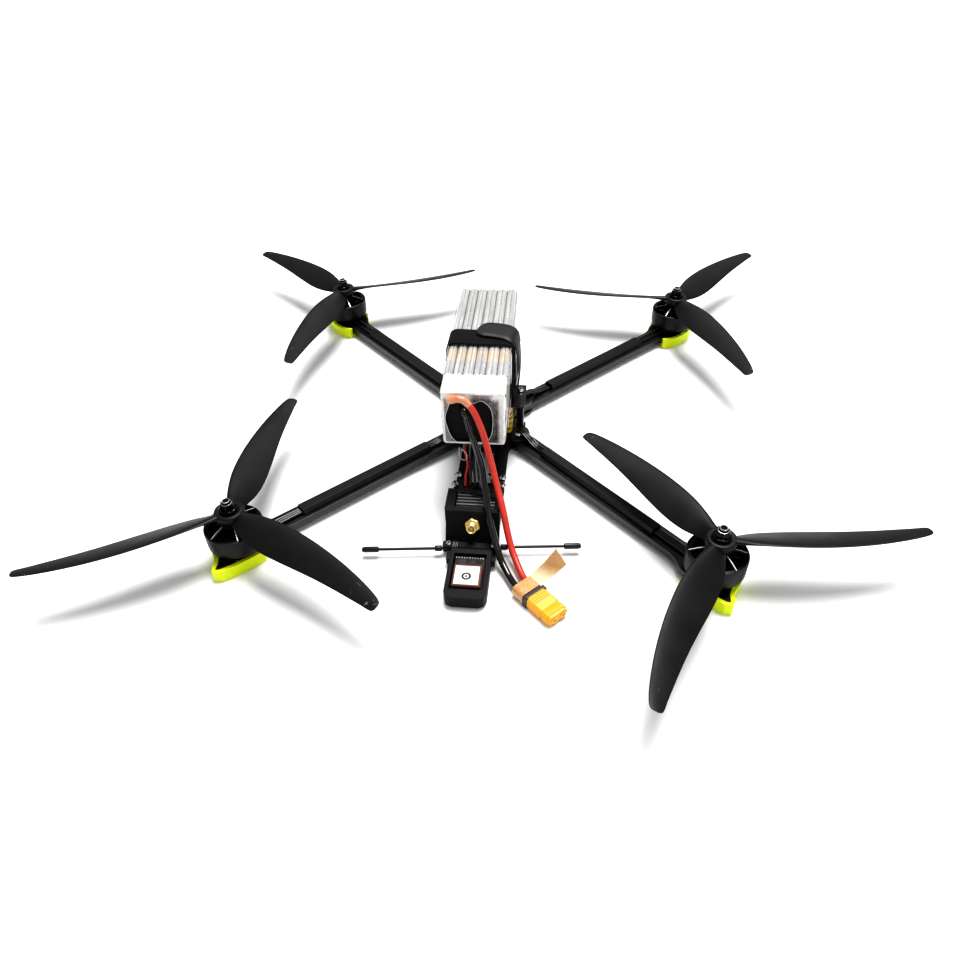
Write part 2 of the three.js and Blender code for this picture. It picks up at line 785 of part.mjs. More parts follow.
// tape round the connector's rear end, its loose end standing up to the right
function connectorTape() {
  const wrap = box([0.6, -8.7, -4.4], [10.1, 8.7, 4.6]);
  const flag = sheet([[1, 6, 4.2], [10, 6, 4.2], [15.7, 22, 15.6], [8.6, 19.3, 25.6]], 0.5);
  return placeConnector(joined([wrap, flag]));
}

addMesh(drone, "battery_pad", box([-15, -58, padBottom], [15, 58, padBottom + padThickness]), softBlack);
addMesh(drone, "battery_pack", batteryPack(), cellFoil);
addMesh(drone, "battery_strap", batteryStrap(), webbing);
addMesh(drone, "battery_lead_red", tube(redRoute, leadRadius, 8, 24), redSilicone);
addMesh(drone, "battery_lead_black", tube(blackRoute, leadRadius, 8, 20), blackSilicone);
addMesh(drone, "battery_connector", connectorBody(), yellowNylon);
addMesh(drone, "connector_tape", connectorTape(), paperTape);

export default drone;
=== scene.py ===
import bpy
import bmesh
import math
from mathutils import Matrix, Vector, noise


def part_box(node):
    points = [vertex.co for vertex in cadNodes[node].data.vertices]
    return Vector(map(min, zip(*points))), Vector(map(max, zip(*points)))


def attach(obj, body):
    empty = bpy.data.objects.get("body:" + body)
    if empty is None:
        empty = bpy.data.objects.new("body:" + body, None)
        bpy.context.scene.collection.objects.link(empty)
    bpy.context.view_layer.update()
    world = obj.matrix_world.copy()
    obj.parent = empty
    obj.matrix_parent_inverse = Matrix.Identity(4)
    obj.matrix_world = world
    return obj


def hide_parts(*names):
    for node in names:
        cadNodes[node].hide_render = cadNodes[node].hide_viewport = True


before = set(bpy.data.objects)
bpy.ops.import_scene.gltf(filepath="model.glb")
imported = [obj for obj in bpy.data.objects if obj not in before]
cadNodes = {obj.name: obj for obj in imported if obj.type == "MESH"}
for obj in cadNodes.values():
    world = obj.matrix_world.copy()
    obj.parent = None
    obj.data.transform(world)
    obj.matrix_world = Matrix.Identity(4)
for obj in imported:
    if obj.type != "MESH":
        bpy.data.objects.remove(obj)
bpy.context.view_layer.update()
mm = 0.001  # sizes below are in millimetres, meshes in metres
scene = bpy.context.scene


# small helpers
def linear(hexColour):
    parts = [int(hexColour[i:i + 2], 16) / 255 for i in (1, 3, 5)]
    return tuple(c / 12.92 if c <= 0.04045 else ((c + 0.055) / 1.055) ** 2.4 for c in parts) + (1.0,)


def addNode(tree, kind, settings=None, values=None, links=None):
    # a link comes from a node's first output, or from the output that is given
    node = tree.nodes.new(kind)
    for name, value in (settings or {}).items():
        setattr(node, name, value)
    for name, value in (values or {}).items():
        node.inputs[name].default_value = value
    for name, source in (links or {}).items():
        tree.links.new(source.outputs[0] if hasattr(source, "outputs") else source, node.inputs[name])
    return node


def startMaterial(name, centre=(0, 0, 0), turn=0, stretch=(1, 1, 1)):
    # a shader and object coordinates in millimetres, centred and turned on the piece
    material = bpy.data.materials.new(name)
    material.use_nodes = True
    tree = material.node_tree
    tree.nodes.clear()
    output = addNode(tree, "ShaderNodeOutputMaterial")
    shader = addNode(tree, "ShaderNodeBsdfPrincipled")
    tree.links.new(shader.outputs[0], output.inputs[0])
    place = addNode(tree, "ShaderNodeTexCoord")
    shift = addNode(tree, "ShaderNodeVectorMath", {"operation": "SUBTRACT"}, {1: [c * mm for c in centre]},
                    {0: place.outputs["Object"]})
    millimetres = addNode(tree, "ShaderNodeMapping", {},
                          {"Scale": [1000 * s for s in stretch], "Rotation": (0, 0, turn)}, {"Vector": shift})
    return material, tree, shader, millimetres.outputs[0]


def paint(tree, shader, colour, gloss, relief, **onShader):
    # colour, roughness and relief nodes into the shader, and its plain settings
    tree.links.new(colour.outputs[2], shader.inputs["Base Color"])
    tree.links.new(gloss.outputs[0], shader.inputs["Roughness"])
    tree.links.new(relief.outputs[0], shader.inputs["Normal"])
    for socket, value in onShader.items():
        shader.inputs[socket.replace("_", " ")].default_value = value


def mottled(name, low, high, grainMm, roughLow, roughHigh, bumpMm, centre=(0, 0, 0), turn=0,
            stretch=(1, 1, 1), **onShader):
    # a surface whose colour, gloss and relief all come from one grain of that size
    material, tree, shader, where = startMaterial(name, centre, turn, stretch)
    grain = addNode(tree, "ShaderNodeTexNoise", {}, {"Scale": 1 / grainMm, "Detail": 5.0, "Roughness": 0.6},
                    {"Vector": where})
    colour = addNode(tree, "ShaderNodeMix", {"data_type": "RGBA"}, {6: linear(low), 7: linear(high)},
                     {0: grain})
    gloss = addNode(tree, "ShaderNodeMapRange", {}, {1: 0.3, 2: 0.7, 3: roughLow, 4: roughHigh}, {0: grain})
    relief = addNode(tree, "ShaderNodeBump", {}, {"Strength": 1.0, "Distance": bumpMm * mm},
                     {"Height": grain})
    paint(tree, shader, colour, gloss, relief, **onShader)
    return material


def meshPiece(name, vertices, faces, body, material, replaced=(), smooth=40):
    mesh = bpy.data.meshes.new(name)
    mesh.from_pydata([tuple(c * mm for c in v) for v in vertices], [], faces)
    return finishPiece(name, mesh, body, material, replaced, smooth)


def finishPiece(name, mesh, body, material, replaced=(), smooth=40):
    mesh.validate()
    if material is not None:
        mesh.materials.clear()
        mesh.materials.append(material)
    mesh.polygons.foreach_set("use_smooth", [True] * len(mesh.polygons))
    mesh.set_sharp_from_angle(angle=math.radians(smooth))
    piece = bpy.data.objects.new(name, mesh)
    scene.collection.objects.link(piece)
    if replaced:
        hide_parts(*replaced)
    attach(piece, body)
    return piece


def merged(shapes):
    # (vertices, faces) pairs into one pair
    vertices, faces = [], []
    for points, polygons in shapes:
        start = len(vertices)
        vertices += [tuple(p) for p in points]
        faces += [tuple(i + start for i in polygon) for polygon in polygons]
    return vertices, faces


def placed(shape, matrix):
    return [tuple(matrix @ Vector(p)) for p in shape[0]], shape[1]


def lofted(rings, loop=False):
    # closed rings of equal count, running so that the faces look outwards
    # a loop joins the last ring to the first
    count, total = len(rings[0]), len(rings)
    vertices = [p for ring in rings for p in ring]
    faces = []
    for r in range(total if loop else total - 1):
        here, there = r * count, (r + 1) % total * count
        for i in range(count):
            j = (i + 1) % count
            faces.append((here + i, here + j, there + j, there + i))
    if not loop:
        faces.append(tuple(reversed(range(count))))
        faces.append(tuple((total - 1) * count + i for i in range(count)))
    return vertices, faces


def turned(profile, sides, closed=False):
    # [radius, height] profile turned about Z; a closed profile makes a hollow ring
    corners = [2 * math.pi * i / sides for i in range(sides)]
    rings = [[(radius * math.cos(a), radius * math.sin(a), height) for a in corners] for radius,
             height in profile]
    return lofted(rings, closed)


def block(low, high, chamfer=0.4):
    # a box with its upright edges and its rims cut off
    (x0, y0, z0), (x1, y1, z1) = low, high
    c = min(chamfer, (x1 - x0) / 3, (y1 - y0) / 3, (z1 - z0) / 3)
    rings = []
    for z, inset in ((z0, c), (z0 + c, 0), (z1 - c, 0), (z1, c)):
        a, b, d, e = x0 + inset, x1 - inset, y0 + inset, y1 - inset
        rings.append([(a + c, d, z), (b - c, d, z), (b, d + c, z), (b, e - c, z),
                      (b - c, e, z), (a + c, e, z), (a, e - c, z), (a, d + c, z)])
    return lofted(rings)


def smoothPath(points, perSpan=6):
    # a curve through the points, even where they are unevenly spaced
    spots = [Vector(p) for p in points]
    spots = [2 * spots[0] - spots[1]] + spots + [2 * spots[-1] - spots[-2]]
    path = []
    for k in range(1, len(spots) - 2):
        a, b, c, d = spots[k - 1:k + 3]
        t1 = math.sqrt((b - a).length)
        t2 = t1 + math.sqrt((c - b).length)
        t3 = t2 + math.sqrt((d - c).length)
        for step in range(perSpan):
            t = t1 + (t2 - t1) * step / perSpan
            p = a.lerp(b, t / t1)
            q = b.lerp(c, (t - t1) / (t2 - t1))
            r = c.lerp(d, (t - t2) / (t3 - t2))
            p = p.lerp(q, t / t2)
            q = q.lerp(r, (t - t1) / (t3 - t1))
            path.append(p.lerp(q, (t - t1) / (t2 - t1)))
    path.append(spots[-2])
    return path


def tubeAlong(path, radii, sides=12):
    # a round tube along a path, its frame carried along so that it doesn't twist
    normal = (path[1] - path[0]).orthogonal().normalized()
    rings = []
    for k, spot in enumerate(path):
        ahead = (path[min(k + 1, len(path) - 1)] - path[max(k - 1, 0)]).normalized()
        normal = (normal - ahead * normal.dot(ahead)).normalized()
        side = ahead.cross(normal)
        radius = radii[k] if isinstance(radii, list) else radii
        angles = [2 * math.pi * i / sides for i in range(sides)]
        rings.append([tuple(spot + radius * (math.cos(a) * normal + math.sin(a) * side)) for a in angles])
    return lofted(rings)


def refined(node, body, material, bevelMm=0.4, segments=2):
    # a CAD node's shape with its loose triangles joined and its edges broken
    mesh = cadNodes[node].data.copy()
    mesh.name = node + "_finished"
    work = bmesh.new()
    work.from_mesh(mesh)
    bmesh.ops.remove_doubles(work, verts=work.verts, dist=0.00002)
    bmesh.ops.dissolve_limit(work, angle_limit=math.radians(1.5), verts=work.verts, edges=work.edges)
    work.to_mesh(mesh)
    work.free()
    piece = finishPiece(node + "_finished", mesh, body, material, (node,), 35)
    if bevelMm:
        bevel = piece.modifiers.new("broken edges", "BEVEL")
        bevel.width = bevelMm * mm
        bevel.segments = segments
        bevel.limit_method = "ANGLE"
        bevel.angle_limit = math.radians(40)
        bevel.harden_normals = True
        bevel.use_clamp_overlap = True
    return piece


# camera, floor and light
viewpoint = {
    "standingAt": (49.87, -480.84, 360.1),
    "azimuth": 7.152,
    "elevation": 40.832,
    "roll": -1.817,
    "lens": 28.56,
}


def placeCamera():
    azimuth, elevation, roll = (math.radians(viewpoint[k]) for k in ("azimuth", "elevation", "roll"))
    back = Vector((math.sin(azimuth) * math.cos(elevation), -math.cos(azimuth) * math.cos(elevation),
                   math.sin(elevation)))
    right = Vector((0, 0, 1)).cross(back).normalized()
    up = back.cross(right)
    rolledRight = right * math.cos(roll) + up * math.sin(roll)
    rolledUp = up * math.cos(roll) - right * math.sin(roll)
    data = bpy.data.cameras.new("camera_view")
    data.lens = viewpoint["lens"]
    data.sensor_width = 36
    data.clip_start = 0.01
    camera = bpy.data.objects.new("camera_view", data)
    scene.collection.objects.link(camera)
    turn = Matrix((rolledRight, rolledUp, back)).transposed().to_4x4()
    camera.matrix_world = Matrix.Translation(Vector(viewpoint["standingAt"]) * mm) @ turn
    scene.camera = camera


studio = {
    "floorSize": 12.0,
    "floorColour": "#f7f7f7",
    "skyStrength": 0.42,
    "sunStrength": 2.9,
    "sunSpread": 28.0,
    "sunFrom": (0.10, 0.30, 1.0),
    "fillPower": 3.0,
}


def addLight(name, power, size, spot, aim):
    data = bpy.data.lights.new(name, "AREA")
    data.energy = power
    data.size = size
    lamp = bpy.data.objects.new(name, data)
    scene.collection.objects.link(lamp)
    lamp.location = spot
    lamp.rotation_euler = (Vector(aim) - Vector(spot)).to_track_quat("-Z", "Y").to_euler()


def setStage():
    half = studio["floorSize"] / 2
    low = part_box("rear_left_foot")[0][2] - 0.00005
    mesh = bpy.data.meshes.new("floor")
    mesh.from_pydata([(-half, -half, low), (half, -half, low), (half, half, low), (-half, half, low)], [],
                     [(0, 1, 2, 3)])
    mesh.materials.append(mottled("matt white paper", "#f4f4f4", studio["floorColour"], 40, 0.8, 0.95, 0.0))
    floor = bpy.data.objects.new("floor", mesh)
    scene.collection.objects.link(floor)
    scene.world = bpy.data.worlds.new("soft white room")
    scene.world.use_nodes = True
    sky = scene.world.node_tree.nodes["Background"]
    sky.inputs[0].default_value = (1, 1, 1, 1)
    sky.inputs[1].default_value = studio["skyStrength"]
    sun = bpy.data.lights.new("key", "SUN")
    sun.energy = studio["sunStrength"]
    sun.angle = math.radians(studio["sunSpread"])
    lamp = bpy.data.objects.new("key", sun)
    scene.collection.objects.link(lamp)
    lamp.rotation_euler = Vector(studio["sunFrom"]).to_track_quat("Z", "Y").to_euler()
    addLight("fill", studio["fillPower"], 1.2, (0.9, -1.0, 0.9), (0, 0, 0.03))
    scene.view_settings.view_transform = "Standard"
    scene.view_settings.look = "High Contrast"


placeCamera()
setStage()
print("stage: camera, floor and light are set")

# battery leads
# silicone sleeve over fine strands: bright colour, soft sheen, broad highlight along the top
redSilicone = mottled("red silicone sleeve", "#b42c20", "#c84432", 2.2, 0.34, 0.46, 0.03, Coat_Weight=0.15)
blackSilicone = mottled("black silicone sleeve", "#020203", "#050506", 2.2, 0.1, 0.18, 0.03, Coat_Weight=0.7)

leads = {
    "diameter": 4.4,
    "red": [
        (-16.6, -88, 84), (-11.8, -88.4, 85), (-7.8, -89.2, 84.4), (-4.4, -90.2, 81.4), (-1.4, -91.2, 77),
        (1.2, -92.6, 71.4), (3.6, -94.2, 65.2), (5.8, -96.2, 58.6), (8, -99.4, 51.8), (10.6, -103.8, 45),
        (13, -109, 38.4), (15.6, -115, 32.6), (18, -121.2, 28.6), (20.4, -127.6, 23.4), (22.4, -132.6, 17),
        (24.4, -137.6, 12), (26.8, -143.4, 8), (29.4, -149, 5.4), (32, -154.8, 4), (34.6, -160.4, 3.2),
        (37, -164.4, 3.2),
    ],
    "black": [
        (-9.6, -82.8, 75.4), (-8, -87.4, 73.2), (-6.9, -88.4, 70.2), (-5.6, -90, 66), (-4.3, -91.8, 61.8),
        (-2.6, -93.6, 57.8), (-0.8, -95.2, 53.4), (1.1, -97.4, 48.8), (3.1, -100.4, 44.4), (4.8, -105, 40.2),
        (6, -111, 36.6), (7.8, -117.6, 32.8), (9.4, -124, 28.6), (11.2, -130, 23.8), (13.4, -136, 18.6),
        (15.8, -141.8, 13.8), (18.2, -146.8, 9.4), (20.8, -151.8, 6.2), (23.8, -157, 4.2), (26.6, -162, 3.2),
        (29.6, -167, 3.2), (31.8, -169.6, 3.2),
    ],
}


def lead(colour, material):
    path = smoothPath(leads[colour], 6)
    shape = tubeAlong(path, leads["diameter"] / 2, 20)
    piece = meshPiece("battery_lead_" + colour + "_sleeve", *shape, "frame", material,
                      ("battery_lead_" + colour,))
    length = sum((b - a).length for a, b in zip(path, path[1:])) * mm
    print("lead", colour, round(length * 1000), "mm")
    return piece, path, length


redLead, redPath, redLength = lead("red", redSilicone)
blackLead, blackPath, blackLength = lead("black", blackSilicone)
print("stage: leads are in")

# connector and its tape
connectorPlace = {"back": (34.4, -167.0, 3.2), "turn": -45.5}
connectorMatrix = (Matrix.Translation(connectorPlace["back"])
                   @ Matrix.Rotation(math.radians(connectorPlace["turn"]), 4, "Z"))

# glass-filled nylon, injection moulded: even satin with faint flow marks
yellowNylon = mottled("yellow moulded nylon", "#e09a14", "#eeb62c", 3.0, 0.35, 0.5, 0.02)
greyNylon = mottled("dark moulded nylon", "#3c3934", "#4c4841", 2.0, 0.45, 0.6, 0.02)


def connector():
    cut = 1.2
    key = 2.6  # the slanted corners that stop it from going in the wrong way round
    shell = []
    for x, halfWidth, halfHeight in ((10.6, 7.4, 3.5), (11.2, 8, 4), (24.5, 8, 4), (25.2, 7.6, 3.7),
                                     (26, 7.6, 3.7), (26.6, 8, 4), (31.2, 8, 4), (31.6, 7.5, 3.6),
                                     (33.4, 7.2, 3.4)):
        shell.append([(x, -halfWidth + cut, -halfHeight), (x, halfWidth - key, -halfHeight),
                      (x, halfWidth, -halfHeight + key), (x, halfWidth, halfHeight - key),
                      (x, halfWidth - key, halfHeight), (x, -halfWidth + cut, halfHeight),
                      (x, -halfWidth, halfHeight - cut), (x, -halfWidth, -halfHeight + cut)])
    body = lofted(shell)
    ribs = [block((x, -6.2, 3.9), (x + 0.7, 5, 4.35), 0.15) for x in (13.4, 15.2, 17.0, 18.8)]
    sockets = []
    for y in (-3.6, 3.6):
        ring = turned([(1.4, 33.2), (2.5, 33.2), (2.5, 33.7), (2.0, 33.9), (1.4, 33.7)], 20, True)
        sockets.append(placed(ring, Matrix.Translation((0, y, 0)) @ Matrix.Rotation(math.pi / 2, 4, "Y")))
    shape = placed(merged([body, *ribs]), connectorMatrix)
    piece = meshPiece("connector_housing", *shape, "frame", yellowNylon, ("battery_connector",), 30)
    bevel = piece.modifiers.new("moulded edges", "BEVEL")
    bevel.width = 0.35 * mm
    bevel.segments = 2
    bevel.limit_method = "ANGLE"
    contacts = meshPiece("connector_contacts", *placed(merged(sockets), connectorMatrix), "frame", goldPlate)
    cap = placed(lofted([[(x, -w, -h), (x, w - 1.5, -h), (x, w, -h + 1.5), (x, w, h - 1.5), (x, w - 1.5, h),
                          (x, -w + 1, h), (x, -w, h - 1), (x, -w, -h + 1)]
                         for x, w, h in ((9.4, 7.8, 3.7), (10.2, 8.3, 4.2), (13.2, 8.3, 4.2),
                                         (13.8, 8.1, 4.05))]), connectorMatrix)
    sleeve = meshPiece("connector_cap", *cap, "frame", greyNylon)
    return [piece, contacts, sleeve]


# gold-plated brass: warm mirror with fine turning marks
goldPlate = mottled("gold-plated brass", "#c79a3c", "#e6c468", 0.8, 0.18, 0.32, 0.01, Metallic=1.0)

# amber adhesive tape: thin, glossy, wrinkled where it was pressed round the corners
amberTape = mottled("amber adhesive tape", "#b9854a", "#dcb07a", 5.0, 0.16, 0.34, 0.35, Coat_Weight=0.5,
                    Alpha=0.93)


def wrinkle(point, size, seed=0.0):
    # smooth uneven push, from -1 to 1
    return noise.noise(Vector(point) / size + Vector((seed, seed * 0.7, -seed)))


def tapeWrap():
    rings = []
    for k in range(13):
        x = 0.7 + k * 9.3 / 12
        ring = []
        for i in range(48):
            angle = 2 * math.pi * i / 48
            c, s = math.cos(angle), math.sin(angle)
            reach = (abs(c) ** 5 + abs(s) ** 5) ** -0.2  # a rounded rectangle
            push = 1 + 0.025 * wrinkle((x, 6 * c, 6 * s), 2.6)
            ring.append((x, min(8.6 * c * reach * push, 8.7), max(min(4.35 * s * reach * push, 4.5), -4.35)))
        rings.append(ring)
    return lofted(rings)


def tapeFlag():
    # the loose end stands up from the wrap's far edge
    low = (Vector((0.4, 5.6, 4.3)), Vector((11.4, 5.6, 4.3)))
    high = (Vector((8.6, 19.3, 25.6)), Vector((15.7, 22, 15.6)))
    across, along = 14, 18
    outward = (low[1] - low[0]).cross(high[0] - low[0]).normalized()
    sheets = []
    for side in (0, 1):
        sheet = []
        for j in range(along + 1):
            t = j / along
            a, b = low[0].lerp(high[0], t), low[1].lerp(high[1], t)
            for i in range(across + 1):
                s = i / across
                point = a.lerp(b, s)
                sag = 1.6 * math.sin(math.pi * t) * (1 - 0.5 * s)
                crease = 0.45 * wrinkle(point, 4.0, 2.0) * min(1, 3 * t)
                sheet.append(tuple(point + outward * (crease - sag + 0.16 * side)))
        sheets.append(sheet)
    count = (across + 1) * (along + 1)
    faces = []
    for j in range(along):
        for i in range(across):
            k = j * (across + 1) + i
            faces.append((k, k + across + 1, k + across + 2, k + 1))
            faces.append((count + k, count + k + 1, count + k + across + 2, count + k + across + 1))
    edge = ([i for i in range(across + 1)] + [j * (across + 1) + across for j in range(1, along + 1)]
            + [along * (across + 1) + i
               for i in range(across - 1, -1, -1)] + [j * (across + 1) for j in range(along - 1, 0, -1)])
    for k, here in enumerate(edge):
        ahead = edge[(k + 1) % len(edge)]
        faces.append((here, ahead, count + ahead, count + here))
    return sheets[0] + sheets[1], faces


connectorPieces = connector()
tape = meshPiece("tape_wrap", *placed(tapeWrap(), connectorMatrix), "frame", amberTape, ("connector_tape",),
                 60)


# the same tape where it stands up: light comes through it next to the wrap
def looseTape():
    material = amberTape.copy()
    material.name = "loose amber tape"
    tree = material.node_tree
    shader = next(node for node in tree.nodes if node.type == "BSDF_PRINCIPLED")
    amber = shader.inputs["Base Color"].links[0].from_socket
    glow = addNode(tree, "ShaderNodeAttribute", {"attribute_name": "glow"})
    lit = addNode(tree, "ShaderNodeMix", {"data_type": "RGBA"}, {7: linear("#fff3cc")},
                  {0: glow.outputs["Fac"], 6: amber})
    tree.links.new(lit.outputs[2], shader.inputs["Base Color"])
    return material


flag = meshPiece("tape_loose_end", *placed(tapeFlag(), connectorMatrix), "frame", looseTape(), (), 60)
glows = flag.data.attributes.new("glow", "FLOAT", "POINT")
for vertex in flag.data.vertices:
    glows.data[vertex.index].value = min(max((17 - vertex.co.z / mm) / 8, 0), 1)
print("stage: connector and tape are in")

# finishes for the frame
# woven carbon laminate under epoxy: two-by-two twill, tows 2 mm wide; the real laminate's machined grey edges
# are not drawn
def carbonLaminate(name, turn=0.0, low="#030304", high="#0d0e0f"):
    material, tree, shader, where = startMaterial(name, (0, 0, 0), turn)
    parts = addNode(tree, "ShaderNodeSeparateXYZ", links={0: where})
    tows = []
    for axis in (0, 1):
        scaled = addNode(tree, "ShaderNodeMath", {"operation": "MULTIPLY"}, {1: 0.5},
                         {0: parts.outputs[axis]})
        whole = addNode(tree, "ShaderNodeMath", {"operation": "FLOOR"}, links={0: scaled})
        rest = addNode(tree, "ShaderNodeMath", {"operation": "PINGPONG"}, {1: 0.5}, {0: scaled})
        tows.append((whole.outputs[0], rest.outputs[0]))
    total = addNode(tree, "ShaderNodeMath", {"operation": "ADD"}, links={0: tows[0][0], 1: tows[1][0]})
    step = addNode(tree, "ShaderNodeMath", {"operation": "FLOORED_MODULO"}, {1: 4.0}, {0: total})
    over = addNode(tree, "ShaderNodeMath", {"operation": "LESS_THAN"}, {1: 1.5}, {0: step})
    crown = addNode(tree, "ShaderNodeMix", {}, {}, {0: over, 2: tows[0][1], 3: tows[1][1]})
    grain = addNode(tree, "ShaderNodeTexNoise", {}, {"Scale": 0.5, "Detail": 4.0}, {"Vector": where})
    # each tow is painted lighter along its crown, a painted sheen; the over-and-under checker is the weave's
    # own pattern
    lift = addNode(tree, "ShaderNodeMath", {"operation": "MULTIPLY_ADD"}, {1: 1.1, 2: -0.1}, {0: crown})
    shade = addNode(tree, "ShaderNodeMath", {"operation": "MULTIPLY_ADD"}, {1: 0.6}, {0: over, 2: lift})
    colour = addNode(tree, "ShaderNodeMix", {"data_type": "RGBA"}, {6: linear(low), 7: linear(high)},
                     {0: shade})
    gloss = addNode(tree, "ShaderNodeMapRange", {}, {1: 0.3, 2: 0.7, 3: 0.3, 4: 0.46}, {0: grain})
    relief = addNode(tree, "ShaderNodeBump", {}, {"Strength": 0.5, "Distance": 0.05 * mm}, {"Height": crown})
    paint(tree, shader, colour, gloss, relief, Coat_Weight=0.5, Coat_Roughness=0.14, Specular_IOR_Level=0.35)
    return material


# flexible filament laid in level beads; the beads are drawn 0.5 mm high so that they show
def printedSoft(name, low, high, rough, reliefMm, gleam, beadMm=0.5):
    material, tree, shader, where = startMaterial(name)
    beads = addNode(tree, "ShaderNodeTexWave", {"bands_direction": "Z"},
                    {"Scale": 0.314 / beadMm, "Distortion": 1.2, "Detail": 2.0, "Detail Scale": 0.4},
                    {"Vector": where})
    grain = addNode(tree, "ShaderNodeTexNoise", {}, {"Scale": 0.45, "Detail": 5.0}, {"Vector": where})
    both = addNode(tree, "ShaderNodeMix", {}, {0: 0.45}, {2: beads.outputs[1], 3: grain})
    colour = addNode(tree, "ShaderNodeMix", {"data_type": "RGBA"}, {6: linear(low), 7: linear(high)},
                     {0: both})
    gloss = addNode(tree, "ShaderNodeMapRange", {}, {3: rough - 0.08, 4: rough + 0.1}, {0: grain})
    relief = addNode(tree, "ShaderNodeBump", {}, {"Strength": 1.0, "Distance": reliefMm * mm},
                     {"Height": both})
    paint(tree, shader, colour, gloss, relief, Specular_IOR_Level=gleam)
    return material


plateCarbon = carbonLaminate("woven carbon plate")
armCarbon = {turn: carbonLaminate("woven carbon arm " + str(turn), math.radians(turn), "#020203", "#070708")
             for turn in (45, -45)}
yellowPrint = printedSoft("fluorescent printed rubber", "#cbe000", "#ecf800", 0.5, 0.06, 0.5)
blackPrint = printedSoft("black printed rubber", "#020202", "#040405", 0.5, 0.14, 0.28)
coverPlastic = mottled("matt moulded cover", "#040405", "#09090a", 1.6, 0.36, 0.5, 0.04,
                       Specular_IOR_Level=0.35)
wireRubber = mottled("wire insulation", "#030304", "#070708", 1.4, 0.16, 0.28, 0.02, Coat_Weight=0.6)
blackAnodised = mottled("black anodised aluminium", "#050506", "#0d0d0e", 0.9, 0.14, 0.26, 0.012,
                        Metallic=0.6)
bellAnodised = mottled("satin anodised bell", "#0a0a0b", "#131314", 1.2, 0.34, 0.46, 0.02, Metallic=0.35)
steelLaminations = mottled("stator steel", "#131313", "#242322", 0.5, 0.35, 0.55, 0.05, stretch=(1, 1, 6),
                           Metallic=0.9)
brightEdge = mottled("diamond-cut bright edge", "#d2d2d2", "#f4f4f4", 0.7, 0.2, 0.34, 0.01, Metallic=0.25)
darkSteel = mottled("black oxide steel", "#0c0c0d", "#18181a", 0.6, 0.2, 0.34, 0.02, Metallic=0.7)
# enamelled copper painted nearly black to stand for the shade inside the bell: painted shade
shadedWindingCopper = mottled("copper windings darkened as painted shade", "#0d0807", "#24140d", 0.6, 0.25, 0.4, 0.1, Metallic=0.85)
zincSteel = mottled("bright zinc-plated steel", "#b9bbbe", "#e2e3e5", 0.7, 0.16, 0.34, 0.015, Metallic=1.0)
circuitGreen = mottled("green solder mask", "#0b2316", "#14331f", 1.5, 0.25, 0.4, 0.03, Coat_Weight=0.4)
circuitBlack = mottled("black solder mask", "#0c0d0e", "#191b1c", 1.5, 0.25, 0.4, 0.03, Coat_Weight=0.4)
finAluminium = mottled("grey anodised fins", "#7c7d7f", "#96979a", 1.0, 0.35, 0.5, 0.03, Metallic=0.8)

# plates, arms, feet and wire covers
corners = {  # direction of the arm, leading edge side of the blades, where one blade points
    "rear_left": (225, 1, 88.6),
    "rear_right": (315, -1, 8.5),
    "front_left": (135, -1, 22.7),
    "front_right": (45, 1, 51.4),
}
for plate in ("bottom_plate", "middle_plate", "top_plate"):
    refined(plate, "frame", plateCarbon, 0.25)
for corner, (degrees, side, rest) in corners.items():
    refined(corner + "_arm", "frame", armCarbon[45 if degrees in (45, 225) else -45], 0.5, 3)
    refined(corner + "_foot", "frame", yellowPrint, 0.45, 3)
    refined(corner + "_wire_cover", "frame", coverPlastic, 0.3)
    refined(corner + "_standoff", "frame", blackAnodised, 0.3)


# node trees: repeats, tubes along curves and screw heads
def newTree(name, sockets):
    tree = bpy.data.node_groups.new(name, "GeometryNodeTree")
    tree.interface.new_socket("Geometry", in_out="OUTPUT", socket_type="NodeSocketGeometry")
    tree.interface.new_socket("Geometry", in_out="INPUT", socket_type="NodeSocketGeometry")
    for label, kind, value in sockets:
        socket = tree.interface.new_socket(label, in_out="INPUT", socket_type=kind)
        if value is not None:
            socket.default_value = value
    return tree, addNode(tree, "NodeGroupInput"), addNode(tree, "NodeGroupOutput")


def finishTree(tree, start, end, geometry):
    whole = addNode(tree, "GeometryNodeRealizeInstances", links={0: geometry})
    painted = addNode(tree, "GeometryNodeSetMaterial",
                      links={"Geometry": whole, "Material": start.outputs["Material"]})
    tree.links.new(painted.outputs[0], end.inputs[0])
    return tree


def repeatTree():
    # copies of the incoming shape, each one moved and turned on from the last
    tree, start, end = newTree("repeat shape",
                               [("Count", "NodeSocketInt", 6), ("Step", "NodeSocketVector", (0, 0, 0)),
                                                ("Turn", "NodeSocketFloat", 0.0),
                                                ("Material", "NodeSocketMaterial", None)])
    order = addNode(tree, "GeometryNodeInputIndex")
    shift = addNode(tree, "ShaderNodeVectorMath", {"operation": "SCALE"},
                    links={0: start.outputs["Step"], 3: order})
    spots = addNode(tree, "GeometryNodePoints", links={"Count": start.outputs["Count"], "Position": shift})
    angle = addNode(tree, "ShaderNodeMath", {"operation": "MULTIPLY"},
                    links={0: start.outputs["Turn"], 1: order})
    about = addNode(tree, "ShaderNodeCombineXYZ", links={2: angle})
    copies = addNode(tree, "GeometryNodeInstanceOnPoints",
                     links={"Points": spots, "Instance": start.outputs["Geometry"], "Rotation": about})
    return finishTree(tree, start, end, copies.outputs[0])


